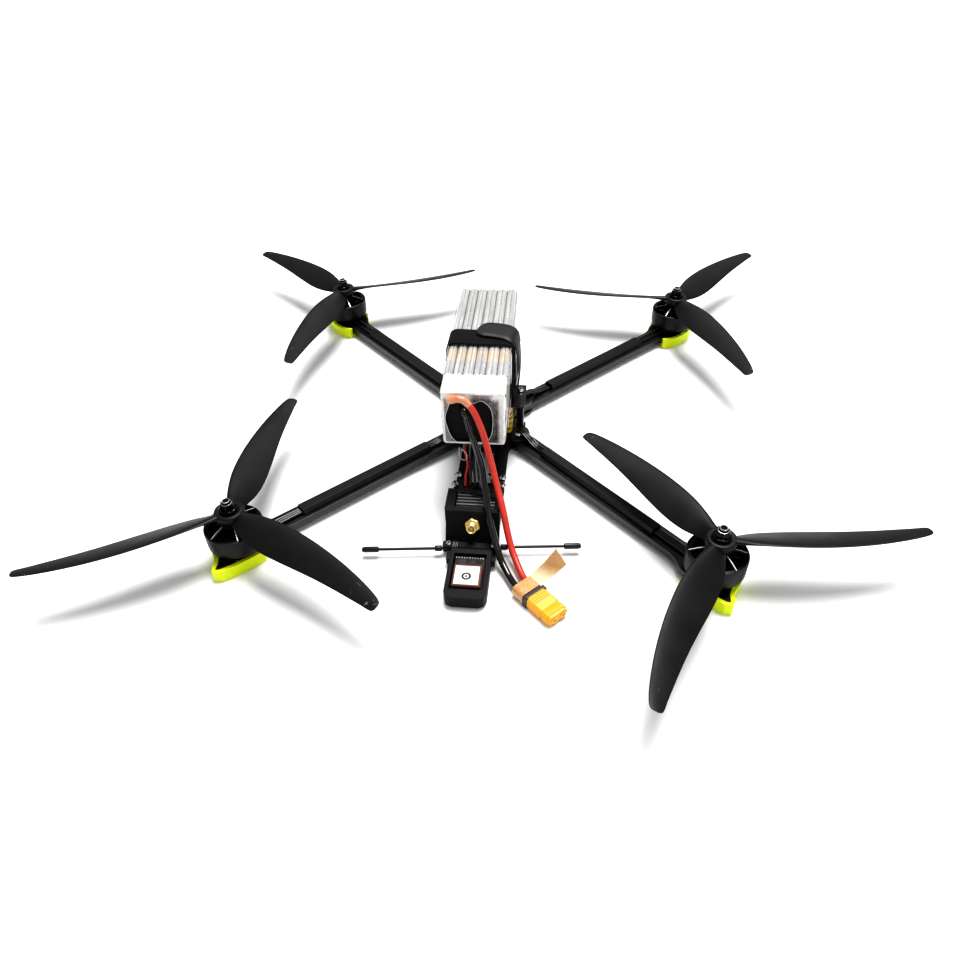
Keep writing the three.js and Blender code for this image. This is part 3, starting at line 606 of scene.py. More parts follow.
def tubeTree():
    # a round tube along every incoming line
    tree, start, end = newTree("tube along line",
                               [("Radius", "NodeSocketFloat", 0.001), ("Sides", "NodeSocketInt", 12),
                                                   ("Material", "NodeSocketMaterial", None)])
    line = addNode(tree, "GeometryNodeMeshToCurve", links={0: start.outputs["Geometry"]})
    ring = addNode(tree, "GeometryNodeCurvePrimitiveCircle",
                   links={"Radius": start.outputs["Radius"], "Resolution": start.outputs["Sides"]})
    tube = addNode(tree, "GeometryNodeCurveToMesh", {}, {"Fill Caps": True},
                   {"Curve": line, "Profile Curve": ring})
    return finishTree(tree, start, end, tube.outputs[0])


def screwTree():
    # a button head with its hexagon socket at every incoming point
    tree, start, end = newTree("button screws",
                               [("Radius", "NodeSocketFloat", 0.0027), ("Height", "NodeSocketFloat", 0.0016),
                                                 ("Material", "NodeSocketMaterial", None)])
    half = addNode(tree, "ShaderNodeMath", {"operation": "MULTIPLY"}, {1: 0.5}, {0: start.outputs["Height"]})
    crown = addNode(tree, "ShaderNodeMath", {"operation": "MULTIPLY"}, {1: 0.62},
                    {0: start.outputs["Radius"]})
    socket = addNode(tree, "ShaderNodeMath", {"operation": "MULTIPLY"}, {1: 0.42},
                     {0: start.outputs["Radius"]})
    shoulder = addNode(tree, "GeometryNodeMeshCone", {}, {"Vertices": 28},
                       {"Radius Bottom": start.outputs["Radius"], "Radius Top": crown,
                        "Depth": start.outputs["Height"]})
    hexagon = addNode(tree, "GeometryNodeMeshCylinder", {}, {"Vertices": 6},
                      {"Radius": socket, "Depth": start.outputs["Height"]})
    up = addNode(tree, "ShaderNodeCombineXYZ", links={2: half})
    raised = addNode(tree, "GeometryNodeTransform", links={"Geometry": hexagon, "Translation": up})
    hollow = addNode(tree, "GeometryNodeMeshBoolean", {"operation": "DIFFERENCE"},
                     links={0: shoulder, 1: raised})
    copies = addNode(tree, "GeometryNodeInstanceOnPoints",
                     links={"Points": start.outputs["Geometry"], "Instance": hollow})
    return finishTree(tree, start, end, copies.outputs[0])


trees = {"repeat": repeatTree(), "tube": tubeTree(), "screw": screwTree()}


def throughTree(name, vertices, edges, faces, tree, inputs, body, replaced=(), matrix=None, smooth=35):
    # the incoming mesh goes through a node tree and comes out as a plain mesh
    mesh = bpy.data.meshes.new(name + "_start")
    mesh.from_pydata([tuple(c * mm for c in v) for v in vertices], edges, faces)
    maker = bpy.data.objects.new(name + "_maker", mesh)
    scene.collection.objects.link(maker)
    modifier = maker.modifiers.new("shape", "NODES")
    modifier.node_group = tree
    for socket in tree.interface.items_tree:
        if socket.in_out == "INPUT" and socket.name in inputs:
            modifier[socket.identifier] = inputs[socket.name]
    maker.update_tag()
    graph = bpy.context.evaluated_depsgraph_get()
    result = bpy.data.meshes.new_from_object(maker.evaluated_get(graph), depsgraph=graph)
    bpy.data.objects.remove(maker)
    if matrix is not None:
        result.transform(matrix)
    result.name = name
    return finishPiece(name, result, body, inputs["Material"], replaced, smooth)


def wires(name, routes, radius, material, body="frame", replaced=(), turn=0.0, sides=12):
    vertices, edges = [], []
    for route in routes:
        path = smoothPath(route, 5)
        edges += [(len(vertices) + k, len(vertices) + k + 1) for k in range(len(path) - 1)]
        vertices += [tuple(p) for p in path]
    return throughTree(name, vertices, edges, [], trees["tube"],
                       {"Radius": radius * mm, "Sides": sides, "Material": material},
                       body, replaced, Matrix.Rotation(turn, 4, "Z"), 80)


def screws(name, spots, radius, height, material=None, body="frame"):
    return throughTree(name, [(x, y, z + height / 2) for x, y, z in spots], [], [], trees["screw"],
                       {"Radius": radius * mm, "Height": height * mm, "Material": material or zincSteel},
                       body)


# three phase wires from the motor, through the cover, to the electronics
phaseWires = {"radius": 0.93, "spread": 1.78, "level": 9.2}
for corner, (degrees, side, rest) in corners.items():
    level = phaseWires["level"]
    routes = []
    for k in (-1, 0, 1):
        y = k * phaseWires["spread"]
        routes.append([(30, y, 14.2), (37, y, 13.9 - 0.3 * k), (43, y * 1.05, 12.6), (48, y * 1.1, 10.6),
                       (54, y, level + 0.1), (62, y, level), (120, y, level), (166, y, level),
                       (178, y * 1.15, level + 0.15 * k), (190, y * 1.2, level), (199.4, y * 1.25, level)])
    wires(corner + "_phase_wires", routes, phaseWires["radius"], wireRubber, "frame",
          (corner + "_motor_wires",), math.radians(degrees))
print("stage: plates, arms, feet, covers and wires are in")

# motors and propellers
motor = {"spokes": 6, "statorTeeth": 12}
blade = {
    "stations": [  # radius, width seen from above, pitch in degrees, thickness
        (5, 9.5, 24, 8.0), (9, 11, 24, 7.4), (13, 13, 23.6, 6.0), (20, 16.6, 23, 4.2), (30, 19.6, 22.4, 3.3),
        (40, 20.8, 21.4, 2.8), (50, 20.8, 20.2, 2.5), (60, 20.1, 19, 2.3), (70, 18.9, 17.8, 2.1),
        (80, 17.4, 16.6, 1.9), (90, 15.8, 15.5, 1.7), (100, 14, 14.5, 1.5), (108, 12.4, 13.6, 1.35),
        (114, 11, 13, 1.25), (119, 9.7, 12.5, 1.15), (123, 8.5, 12, 1.05), (125.4, 7.2, 11.6, 0.95),
        (126.5, 5.6, 11.3, 0.85), (127, 3, 11.2, 0.7),
    ],
    "bow": 3.2,
    "tipRake": 0.6,
    "camber": 0.035,
    "meanHeight": 33.95,
}


def valueAt(table, column, radius):
    # smooth value between the stations
    for k in range(len(table) - 1):
        if radius <= table[k + 1][0]:
            break
    a, b = table[k], table[k + 1]
    before, after = table[max(k - 1, 0)], table[min(k + 2, len(table) - 1)]
    span = b[0] - a[0]
    t = (radius - a[0]) / span
    m0 = (b[column] - before[column]) / (b[0] - before[0]) * span
    m1 = (after[column] - a[column]) / (after[0] - a[0]) * span
    return ((2 * t ** 3 - 3 * t ** 2 + 1) * a[column] + (t ** 3 - 2 * t ** 2 + t) * m0
            + (-2 * t ** 3 + 3 * t ** 2) * b[column] + (t ** 3 - t ** 2) * m1)


def bladeShape(side):
    # one blade along +X; side is 1 where its leading edge is towards +Y
    table = blade["stations"]
    radii = [5 + 114 * k / 38 for k in range(39)] + [121, 123, 124.4, 125.4, 126.1, 126.6, 127]
    rings = []
    for radius in radii:
        width, pitch, thick = (valueAt(table, column, radius) for column in (1, 2, 3))
        turn = math.radians(pitch)
        chord = width / math.cos(turn)
        reach = max(radius - 20, 0) / 106
        bow = blade["bow"] * math.sin(math.pi * min(reach, 1) ** 1.2)
        bow -= blade["tipRake"] * (max(radius - 116, 0) / 11) ** 1.6
        ring = []
        for k in range(22):
            top = k <= 11
            u = (1 - math.cos(math.pi * (k if top else 22 - k) / 11)) / 2
            # the four-digit aerofoil's thickness, with a blunter trailing edge
            depth = 5 * (0.2969 * math.sqrt(u) - 0.126 * u - 0.3516 * u ** 2
                         + 0.2843 * u ** 3 - 0.1015 * u ** 4) + 0.12 * u
            height = depth * thick * (0.62 if top else -0.42)
            height += 4 * blade["camber"] * chord * u * (1 - u) * 0.5
            along = (0.5 - u) * chord
            flat = bow + along * math.cos(turn) - height * math.sin(turn)
            rise = along * math.sin(turn) + height * math.cos(turn)
            ring.append((radius, side * flat, blade["meanHeight"] + rise))
        rings.append(ring if side > 0 else ring[::-1])
    return lofted(rings)


def propellerPiece(corner, axis, side, rest):
    centre = Matrix.Translation((axis[0], axis[1], 0))
    hub = turned([(2.85, 29.3), (6.4, 29.3), (7.2, 30.4), (8.8, 31.4), (9.5, 32.4), (9.5, 36.5), (9.2, 37.2),
                  (8.6, 37.6), (7.4, 37.85), (6.6, 37.6), (2.85, 37.6)], 64, True)
    shapes = [placed(hub, centre)]
    for k in range(3):
        turn = Matrix.Rotation(math.radians(rest + 120 * k), 4, "Z")
        shapes.append(placed(bladeShape(side), centre @ turn))
    return meshPiece(corner + "_prop", *merged(shapes), corner + "_rotor",
                     scuffedNylon(corner.replace("_", " ") + " blade nylon", axis, rest / 10),
                     (corner + "_propeller",), 50)


# injection-moulded nylon with glass fibre: dark and satin, fine pale scratches across the tips
def scuffedNylon(name, axis, seed):
    material, tree, shader, where = startMaterial(name, (axis[0], axis[1], 0))
    flat = addNode(tree, "ShaderNodeMapping", {}, {"Scale": (1, 1, 0)}, {"Vector": where})
    reach = addNode(tree, "ShaderNodeVectorMath", {"operation": "LENGTH"}, links={0: flat})
    outer = addNode(tree, "ShaderNodeMapRange", {}, {1: 98.0, 2: 118.0, 3: 0.0, 4: 1.0},
                    {0: reach.outputs["Value"]})
    cloud = addNode(tree, "ShaderNodeTexNoise", {"noise_dimensions": "4D"},
                    {"W": seed, "Scale": 0.05, "Detail": 3.0}, {"Vector": where})
    grain = addNode(tree, "ShaderNodeTexNoise", {}, {"Scale": 1.1, "Detail": 4.0}, {"Vector": where})
    scratch = addNode(tree, "ShaderNodeTexVoronoi",
                      {"feature": "DISTANCE_TO_EDGE", "voronoi_dimensions": "4D"},
                      {"W": seed, "Scale": 0.12, "Randomness": 1.0}, {"Vector": where})
    line = addNode(tree, "ShaderNodeMapRange", {}, {1: 0.004, 2: 0.014, 3: 0.55, 4: 0.0},
                   {0: scratch.outputs["Distance"]})
    short = addNode(tree, "ShaderNodeTexNoise", {"noise_dimensions": "4D"},
                    {"W": seed, "Scale": 0.22, "Detail": 2.0}, {"Vector": where})
    patch = addNode(tree, "ShaderNodeMapRange", {}, {1: 0.6, 2: 0.66, 3: 0.0, 4: 1.0}, {0: short})
    worn = addNode(tree, "ShaderNodeMath", {"operation": "MULTIPLY"}, links={0: line, 1: outer})
    nick = addNode(tree, "ShaderNodeMath", {"operation": "MULTIPLY"}, links={0: worn, 1: patch})
    base = addNode(tree, "ShaderNodeMix", {"data_type": "RGBA"}, {6: linear("#080808"), 7: linear("#111112")},
                   {0: cloud})
    colour = addNode(tree, "ShaderNodeMix", {"data_type": "RGBA"}, {7: linear("#a9a7a4")},
                     {0: nick, 6: base.outputs[2]})
    gloss = addNode(tree, "ShaderNodeMapRange", {}, {1: 0.3, 2: 0.7, 3: 0.36, 4: 0.5}, {0: cloud})
    relief = addNode(tree, "ShaderNodeBump", {}, {"Strength": 0.6, "Distance": 0.02 * mm}, {"Height": grain})
    paint(tree, shader, colour, gloss, relief, Specular_IOR_Level=0.3)
    return material


def bellPiece(corner, axis):
    centre = Matrix.Translation((axis[0], axis[1], 0))
    wall = turned([(16.9, 10.8), (17.3, 10.8), (18.0, 11.5), (18.5, 12.8), (18.7, 14.6), (18.7, 24.7),
                   (18.45, 25.35), (17.9, 25.6), (16.9, 25.6)], 72, True)
    shaft = turned([(2.5, 8.6), (2.5, 45.2), (2.2, 45.5), (2.0, 45.5), (1.7, 44.9)], 24)
    rim = turned([(1.75, 44.9), (2.5, 45.1), (2.5, 45.35), (2.15, 45.75), (1.9, 45.6)], 32, True)
    meshPiece(corner + "_bell_wall", *placed(wall, centre), corner + "_rotor", bellAnodised,
              (corner + "_motor_bell",), 40)
    meshPiece(corner + "_shaft", *placed(shaft, centre), corner + "_rotor", darkSteel, (), 40)
    meshPiece(corner + "_shaft_rim", *placed(rim, centre), corner + "_rotor", zincSteel, (), 40)
    crown = turned([(2.5, 26.1), (7.2, 26.1), (7.7, 26.7), (7.7, 28.4), (7.2, 29.0), (2.5, 29.0)], 48, True)
    ledge = turned([(15.4, 24.2), (17.0, 24.2), (18.2, 25.2), (17.9, 25.7), (16.4, 25.9), (15.4, 25.2)], 72,
                   True)
    meshPiece(corner + "_bell_crown", *placed(merged([crown, ledge]), centre), corner + "_rotor",
              blackAnodised, (), 30)
    rings = []
    for x, half, low, high in ((6.8, 1.5, 26.2, 28.7), (9.5, 1.05, 25.6, 28.3), (12.8, 0.95, 24.7, 27.4),
                               (15.4, 1.2, 24.1, 26.4), (17.6, 2.1, 23.6, 25.6)):
        rings.append([(x, -half, low), (x, half, low), (x, half, high - 0.5), (x, half * 0.55, high),
                      (x, -half * 0.55, high), (x, -half, high - 0.5)])
    edge = lofted([[(x, -0.3, z), (x, 0.3, z), (x, 0.3, z + 0.25), (x, -0.3, z + 0.25)]
                   for x, z in ((7.7, 28.6), (9.5, 28.25), (12.8, 27.35), (15.4, 26.35), (17.4, 25.55))])
    place = Matrix.Translation((axis[0] * mm, axis[1] * mm, 0))
    for name, shape, material in (("_bell_spokes", lofted(rings), blackAnodised),
                                  ("_spoke_edges", edge, brightEdge)):
        throughTree(corner + name, shape[0], [], shape[1], trees["repeat"],
                    {"Count": motor["spokes"], "Step": (0, 0, 0), "Turn": 2 * math.pi / motor["spokes"],
                     "Material": material}, corner + "_rotor", (), place, 30)


def statorPieces(corner, axis):
    shift = Matrix.Translation((axis[0], axis[1], 0))
    foot = turned([(2.9, 8.05), (13.4, 8.05), (14, 8.6), (14, 9.8), (13.2, 10.3), (7.4, 10.7), (6.2, 12.4),
                   (5.2, 25.7), (2.9, 25.7)],
                  48, True)
    meshPiece(corner + "_motor_foot", *placed(foot, shift), "frame", blackAnodised, (corner + "_motor_base",),
              30)
    tooth = merged([block((5.4, -1.1, 13), (15.2, 1.1, 22.6), 0.3),
                    block((15.0, -3.4, 13), (16.3, 3.4, 22.6), 0.3)])
    coil = block((7.2, -2.1, 12), (14.4, 2.1, 23.6), 1.0)
    spin = 2 * math.pi / motor["statorTeeth"]
    place = Matrix.Translation((axis[0] * mm, axis[1] * mm, 0))
    for name, shape, material in (("teeth", tooth, steelLaminations), ("windings", coil, shadedWindingCopper)):
        throughTree(corner + "_stator_" + name, shape[0], [], shape[1], trees["repeat"],
                    {"Count": motor["statorTeeth"], "Step": (0, 0, 0), "Turn": spin, "Material": material},
                    "frame", (), place, 30)


def nutPiece(corner, axis, turn):
    flange = [(5.6, 38.15), (5.9, 38.4), (5.9, 39.0), (5.3, 39.5)]
    angles = [2 * math.pi * i / 48 for i in range(48)]
    rings = [[(r * math.cos(a), r * math.sin(a), z) for a in angles] for r, z in flange]
    for factor, z in ((1.0, 39.7), (1.0, 43.0), (0.93, 43.5), (0.72, 43.55)):
        ring = []
        for angle in angles:
            wedge = (angle + math.pi / 6) % (math.pi / 3) - math.pi / 6
            reach = min(4.0 / math.cos(wedge), 4.55) * factor
            ring.append((reach * math.cos(angle), reach * math.sin(angle), z))
        rings.append(ring)
    for r, z in ((2.9, 43.5), (2.75, 43.0), (2.75, 38.15)):
        rings.append([(r * math.cos(a), r * math.sin(a), z) for a in angles])
    nut = lofted(rings, True)
    place = Matrix.Translation((axis[0], axis[1], 0)) @ Matrix.Rotation(turn, 4, "Z")
    meshPiece(corner + "_nut", *placed(nut, place), corner + "_rotor", blackAnodised,
              (corner + "_prop_nut",), 30)
    # bright edge of the locking ring
    insert = turned([(3.05, 43.3), (3.35, 43.3), (3.35, 43.7), (3.05, 43.75)], 32, True)
    meshPiece(corner + "_nut_ring", *placed(insert, place), corner + "_rotor", zincSteel, (), 40)


for number, (corner, (degrees, side, rest)) in enumerate(corners.items()):
    low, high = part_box(corner + "_prop_nut")
    axis = ((low[0] + high[0]) / 2 / mm, (low[1] + high[1]) / 2 / mm)
    bellPiece(corner, axis)
    statorPieces(corner, axis)
    propellerPiece(corner, axis, side, rest)
    nutPiece(corner, axis, 0.3 + 0.5 * number)
print("stage: motors and propellers are in")

# battery pack
battery = {
    "centre": (-4.3, -15.0),
    "turn": 1.0,
    "half": (21.25, 70.0),
    "low": 45.5,
    "high": 88.5,
    "cellEdges": (-21.25, -14.75, -8.25, -1.25, 6.35, 14.05, 21.25),
    "bandStart": -49.8,  # the white end wrap begins here along the pack
    "opening": [  # the hole left in the end film, seen from behind: across, up
        (-12.9, 81.9), (-16.1, 75.4), (-18.3, 67.4), (-17.5, 60), (-14.4, 50.7), (-9.9, 46.6), (-1.8, 46.4),
        (6.4, 46.8), (11.2, 52.8), (12.5, 60.4), (12.7, 69), (11.5, 75), (9.1, 78.8), (4.8, 81.2), (0.8, 79),
        (-3.6, 80.2), (-8.4, 81.6),
    ],
}
batteryMatrix = (Matrix.Translation((battery["centre"][0], battery["centre"][1], 0))
                 @ Matrix.Rotation(math.radians(battery["turn"]), 4, "Z"))


# silver laminate pouch foil under clear shrink film: soft lengthwise streaks, wrinkled gloss
# two faded tan bars lie across the cells
def pouchFoil():
    material, tree, shader, where = startMaterial("silver pouch foil under film",
                                                  (battery["centre"][0], battery["centre"][1], 0),
                                                  math.radians(-battery["turn"]))
    drawn = addNode(tree, "ShaderNodeMapping", {}, {"Scale": (1.0, 0.07, 0.4)}, {"Vector": where})
    streak = addNode(tree, "ShaderNodeTexNoise", {},
                     {"Scale": 0.55, "Detail": 6.0, "Roughness": 0.7, "Distortion": 0.5}, {"Vector": drawn})
    crease = addNode(tree, "ShaderNodeTexNoise", {}, {"Scale": 0.16, "Detail": 3.0, "Distortion": 1.4},
                     {"Vector": where})
    foil = addNode(tree, "ShaderNodeMix", {"data_type": "RGBA"}, {6: linear("#8e8e8d"), 7: linear("#dededc")},
                   {0: streak})
    parts = addNode(tree, "ShaderNodeSeparateXYZ", links={0: where})
    along = addNode(tree, "ShaderNodeMath", {"operation": "ADD"}, {1: 25.6}, {0: parts.outputs[1]})
    inside = addNode(tree, "ShaderNodeMath", {"operation": "ABSOLUTE"}, links={0: along})
    bar = addNode(tree, "ShaderNodeMapRange", {}, {1: 6.2, 2: 8.4, 3: 1.0, 4: 0.0}, {0: inside})
    across = addNode(tree, "ShaderNodeMath", {"operation": "ADD"}, {1: -1.2}, {0: parts})
    gap = addNode(tree, "ShaderNodeMath", {"operation": "ABSOLUTE"}, links={0: across})
    split = addNode(tree, "ShaderNodeMapRange", {}, {1: 1.2, 2: 3.0, 3: 0.12, 4: 0.42}, {0: gap})
    mask = addNode(tree, "ShaderNodeMath", {"operation": "MULTIPLY"}, links={0: bar, 1: split})
    colour = addNode(tree, "ShaderNodeMix", {"data_type": "RGBA"}, {7: linear("#e9cfa6")},
                     {0: mask, 6: foil.outputs[2]})
    gloss = addNode(tree, "ShaderNodeMapRange", {}, {1: 0.3, 2: 0.7, 3: 0.3, 4: 0.5}, {0: streak})
    relief = addNode(tree, "ShaderNodeBump", {}, {"Strength": 0.8, "Distance": 0.18 * mm}, {"Height": streak})
    film = addNode(tree, "ShaderNodeBump", {}, {"Strength": 1.0, "Distance": 1.2 * mm}, {"Height": crease})
    # the seam attribute darkens the foil in the grooves between and along the pouches: painted shade
    seam = addNode(tree, "ShaderNodeAttribute", {"attribute_name": "seam"})
    grooveShaded = addNode(tree, "ShaderNodeMix", {"data_type": "RGBA"}, {7: linear("#4c4c4c")},
                    {0: seam.outputs["Fac"], 6: colour.outputs[2]})
    paint(tree, shader, grooveShaded, gloss, relief, Metallic=0.2, Coat_Weight=0.9, Coat_Roughness=0.08)
    tree.links.new(film.outputs[0], shader.inputs["Coat Normal"])
    return material


# white shrink wrap: bright, softly glossy, with long shallow creases
whiteWrap = mottled("white shrink wrap", "#c4c4c3", "#fbfbf9", 5.0, 0.2, 0.4, 0.9, Coat_Weight=0.5)
blackFoam = mottled("black end foam", "#040404", "#0b0b0b", 1.2, 0.8, 0.95, 0.1)


def cellTop(x):
    # height of the pouch edges: rounded crowns, one folded seam along each
    edges = battery["cellEdges"]
    for k in range(len(edges) - 1):
        if x <= edges[k + 1]:
            break
    t = (x - edges[k]) / (edges[k + 1] - edges[k])
    crown = -1.5 * abs(2 * t - 1) ** 5
    fold = 0.45 * max(0.0, 1 - abs(t - 0.66) / 0.07) - 0.35 * max(0.0, 1 - abs(t - 0.52) / 0.06)
    return crown + fold * (1 if k % 2 else 0.7)


def grooveShadeTone(x):
    # painted shade: dark in the groove where two pouches meet, fainter in the fold along each of them
    edges = battery["cellEdges"]
    meet = min(abs(x - edge) for edge in edges[1:-1])
    k = max(n for n in range(6) if x >= edges[n] - 0.001 or n == 0)
    t = (x - edges[k]) / (edges[k + 1] - edges[k])
    return max(0.9 * max(0, 1 - meet / 0.38), 0.5 * max(0, 1 - abs(t - 0.52) / 0.045))


def batteryCells():
    halfX = battery["half"][0]
    low, high = battery["low"], battery["high"]
    edges = battery["cellEdges"]
    across = []
    for k in range(6):
        across += [edges[k] + (edges[k + 1] - edges[k]) * t
                   for t in (0.0, 0.05, 0.12, 0.25, 0.38, 0.47, 0.52, 0.57, 0.62, 0.68, 0.74, 0.86, 0.95)]
    across = sorted(across + [halfX], reverse=True)
    rings = []
    stations = [-67.2, -66.4, -60, -50.6, -49.4]
    stations += [-49 + 118.5 * k / 40 for k in range(41)] + [70.6, 71.2]
    for y in stations:
        rim = 0.5 * max(0, (y - 69.6) / 1.6) ** 2
        sunk = 1.4 if y < battery["bandStart"] else 0.0  # room for the white wrap
        ring = []
        for x in across:
            sag = 0.28 * wrinkle((x * 2.2, y * 0.35, 0), 6.0, 3.0)
            corner = 0.8 * max(0, (abs(x) - halfX + 1.2) / 1.2) ** 2
            ring.append((x * (1 - rim / 30), y, high - 0.2 - sunk + cellTop(x) + sag - rim - corner))
        for z in (high - 6, high - 12, high - 21, low + 12, low + 6, low + 1.6):
            ring.append((-halfX + 0.35 + 0.25 * wrinkle((9, y, z), 9.0, 5.0) + rim / 2, y, z))
        for k in range(9):
            ring.append((-halfX + 1.6 + k * (2 * halfX - 3.2) / 8, y, low + rim / 2))
        for z in (low + 1.6, low + 6, low + 12, high - 21, high - 12, high - 6):
            ring.append((halfX - 0.35 - 0.25 * wrinkle((-9, y, z), 9.0, 6.0) - rim / 2, y, z))
        rings.append(ring)
    return lofted([ring[::-1] for ring in rings])


def roundedSection(halfX, low, high, corner, perCorner=6, along=7):
    # a rounded rectangle seen from behind, starting at the top right corner and going round to the left
    points = []
    middles = ((halfX - corner, high - corner, 0), (-halfX + corner, high - corner, 90),
               (-halfX + corner, low + corner, 180), (halfX - corner, low + corner, 270))
    for n, (x, z, start) in enumerate(middles):
        for k in range(perCorner + 1):
            angle = math.radians(start + 90 * k / perCorner)
            points.append((x + corner * math.cos(angle), z + corner * math.sin(angle)))
        nextX, nextZ, nextStart = middles[(n + 1) % 4]
        angle = math.radians(nextStart)
        target = (nextX + corner * math.cos(angle), nextZ + corner * math.sin(angle))
        here = points[-1]
        points += [(here[0] + (target[0] - here[0]) * k / along, here[1] + (target[1] - here[1]) * k / along)
                   for k in range(1, along)]
    return points


def batteryBand():
    halfX = battery["half"][0]
    low, high = battery["low"], battery["high"]
    rings = []
    outside = [(battery["bandStart"], 0.35), (-52, 0.1), (-56, 0.0), (-60, 0), (-64, 0), (-67, 0.15),
               (-69, 0.55), (-69.8, 1.2), (-70, 2.0)]
    inside = [(-69.7, 2.6), (-68.6, 2.2), (-67.6, 1.3), (-60, 0.8), (battery["bandStart"], 0.75)]
    for n, (y, inset) in enumerate(outside + inside):
        ring = []
        for x, z in roundedSection(halfX - inset, low + inset, high - inset, max(2.4 - inset / 2, 0.8)):
            push = 0.3 * wrinkle((x, y * 1.6, z), 5.0, 8.0) * (1 if n < len(outside) else 0)
            scale = 1 + (push - 0.3 * (n < len(outside))) / 30
            ragged = 0.7 * wrinkle((x, 0, z), 4.0, 4.0) if inset in (0.35, 0.75) else 0
            ring.append((x * scale, y + ragged, (z - 67) * scale + 67))
        rings.append(ring)
    return lofted(rings, True)


def openingEdge(count):
    # the outline of the opening, made smooth and even
    spots = [Vector((x, 0, z)) for x, z in battery["opening"]]
    path = smoothPath(spots[-2:] + spots + spots[:3], 8)[16:-16]
    start = min(range(len(path)),
                key=lambda k: abs(math.atan2(path[k].z - 65, path[k].x + 2) - math.radians(45)))
    lengths = [0.0]
    loop = path[:len(spots) * 8]
    loop = loop[start % len(loop):] + loop[:start % len(loop)]
    for a, b in zip(loop, loop[1:] + loop[:1]):
        lengths.append(lengths[-1] + (b - a).length)
    even = []
    for k in range(count):
        want = lengths[-1] * k / count
        n = max(i for i in range(len(lengths) - 1) if lengths[i] <= want)
        a, b = loop[n], loop[(n + 1) % len(loop)]
        even.append(a.lerp(b, (want - lengths[n]) / max(lengths[n + 1] - lengths[n], 1e-6)))
    if even[1].x > even[0].x:  # always round to the left first
        even = [even[0]] + even[:0:-1]
    return even


# clear end film: thin, glossy, wrinkled, whiter where it lies double, with painted highlights along its top
# and right edges and on the crests of its creases
def endFilm():
    material, tree, shader, where = startMaterial("wrinkled end film")
    tone = addNode(tree, "ShaderNodeAttribute", {"attribute_name": "tone"})
    crease = addNode(tree, "ShaderNodeTexNoise", {}, {"Scale": 0.28, "Detail": 5.0, "Distortion": 1.2},
                     {"Vector": where})
    # the crests of the creases are painted paler: a painted highlight
    spread = addNode(tree, "ShaderNodeMath", {"operation": "MULTIPLY_ADD"}, {1: 0.5, 2: -0.25}, {0: crease})
    total = addNode(tree, "ShaderNodeMath", {"operation": "ADD", "use_clamp": True}, {},
                    {0: tone.outputs["Fac"], 1: spread})
    colour = addNode(tree, "ShaderNodeMix", {"data_type": "RGBA"},
                     {6: linear("#222222"), 7: linear("#e4e4e3")}, {0: total})
    relief = addNode(tree, "ShaderNodeBump", {}, {"Strength": 1.0, "Distance": 0.5 * mm}, {"Height": crease})
    gloss = addNode(tree, "ShaderNodeMapRange", {}, {1: 0.3, 2: 0.7, 3: 0.16, 4: 0.34}, {0: crease})
    paint(tree, shader, colour, gloss, relief, Coat_Weight=0.6)
    return material


def filmTone(x, z):
    # how pale the film looks: double layers and edges against the wall are paler; the pale top and right
    # edges are also a painted highlight
    def ramp(value, low, high):
        return min(max((value - low) / (high - low), 0), 1)
    tone = 0.12
    tone = max(tone, 0.95 * ramp(x, 15.6, 17.6))
    tone = max(tone, 0.8 * ramp(-x, 17.2, 19.6) * ramp(z, 52, 62))
    tone = max(tone, 0.28 * ramp(-x, 13, 16))
    tone = max(tone, 1.0 * ramp(z, 80.6, 83.4)
               * (1 - 0.75 * ramp(x, -3, 1) * (1 - ramp(x, 10.5, 13.5)) * (1 - ramp(z, 85.4, 86.8))))
    return tone


def batteryFilm():
    halfX = battery["half"][0]
    outline = roundedSection(halfX - 1.3, battery["low"] + 1.3, battery["high"] - 1.3, 1.8)
    count = len(outline)
    inner = openingEdge(count)
    start = min(range(count),
                key=lambda k: abs(math.atan2(outline[k][1] - 65, outline[k][0] + 2) - math.radians(45)))
    outline = outline[start:] + outline[:start]
    rings = []
    for layer in (0, 1):
        steps = range(9) if layer == 0 else range(8, -1, -1)
        for n in steps:
            t = n / 8
            ring = []
            for k in range(count):
                x = outline[k][0] * (1 - t) + inner[k].x * t
                z = outline[k][1] * (1 - t) + inner[k].z * t
                pucker = 0.55 * wrinkle((x, 0, z), 3.2, 9.0) * math.sin(math.pi * min(t * 1.3, 1))
                pucker += 0.7 * t ** 2
                ring.append((x, -69.75 + pucker + 0.14 * layer, z))
            rings.append(ring)
    shape = lofted([ring[::-1] for ring in rings], True)
    edge = [Vector((p.x, -69.1, p.z)) for p in inner]
    return shape, tubeLoop(edge, 0.24, 6)


def tubeLoop(path, radius, sides):
    rings = []
    for k, spot in enumerate(path):
        ahead = (path[(k + 1) % len(path)] - path[k - 1]).normalized()
        normal = Vector((0, 1, 0))
        side = ahead.cross(normal).normalized()
        angles = [2 * math.pi * i / sides for i in range(sides)]
        rings.append([tuple(spot + radius * (math.cos(a) * normal + math.sin(a) * side)) for a in angles])
    return lofted(rings, True)


cells = meshPiece("battery_cells", *placed(batteryCells(), batteryMatrix), "frame", pouchFoil(),
                  ("battery_pack",), 50)
cells.data.materials.append(blackFoam)
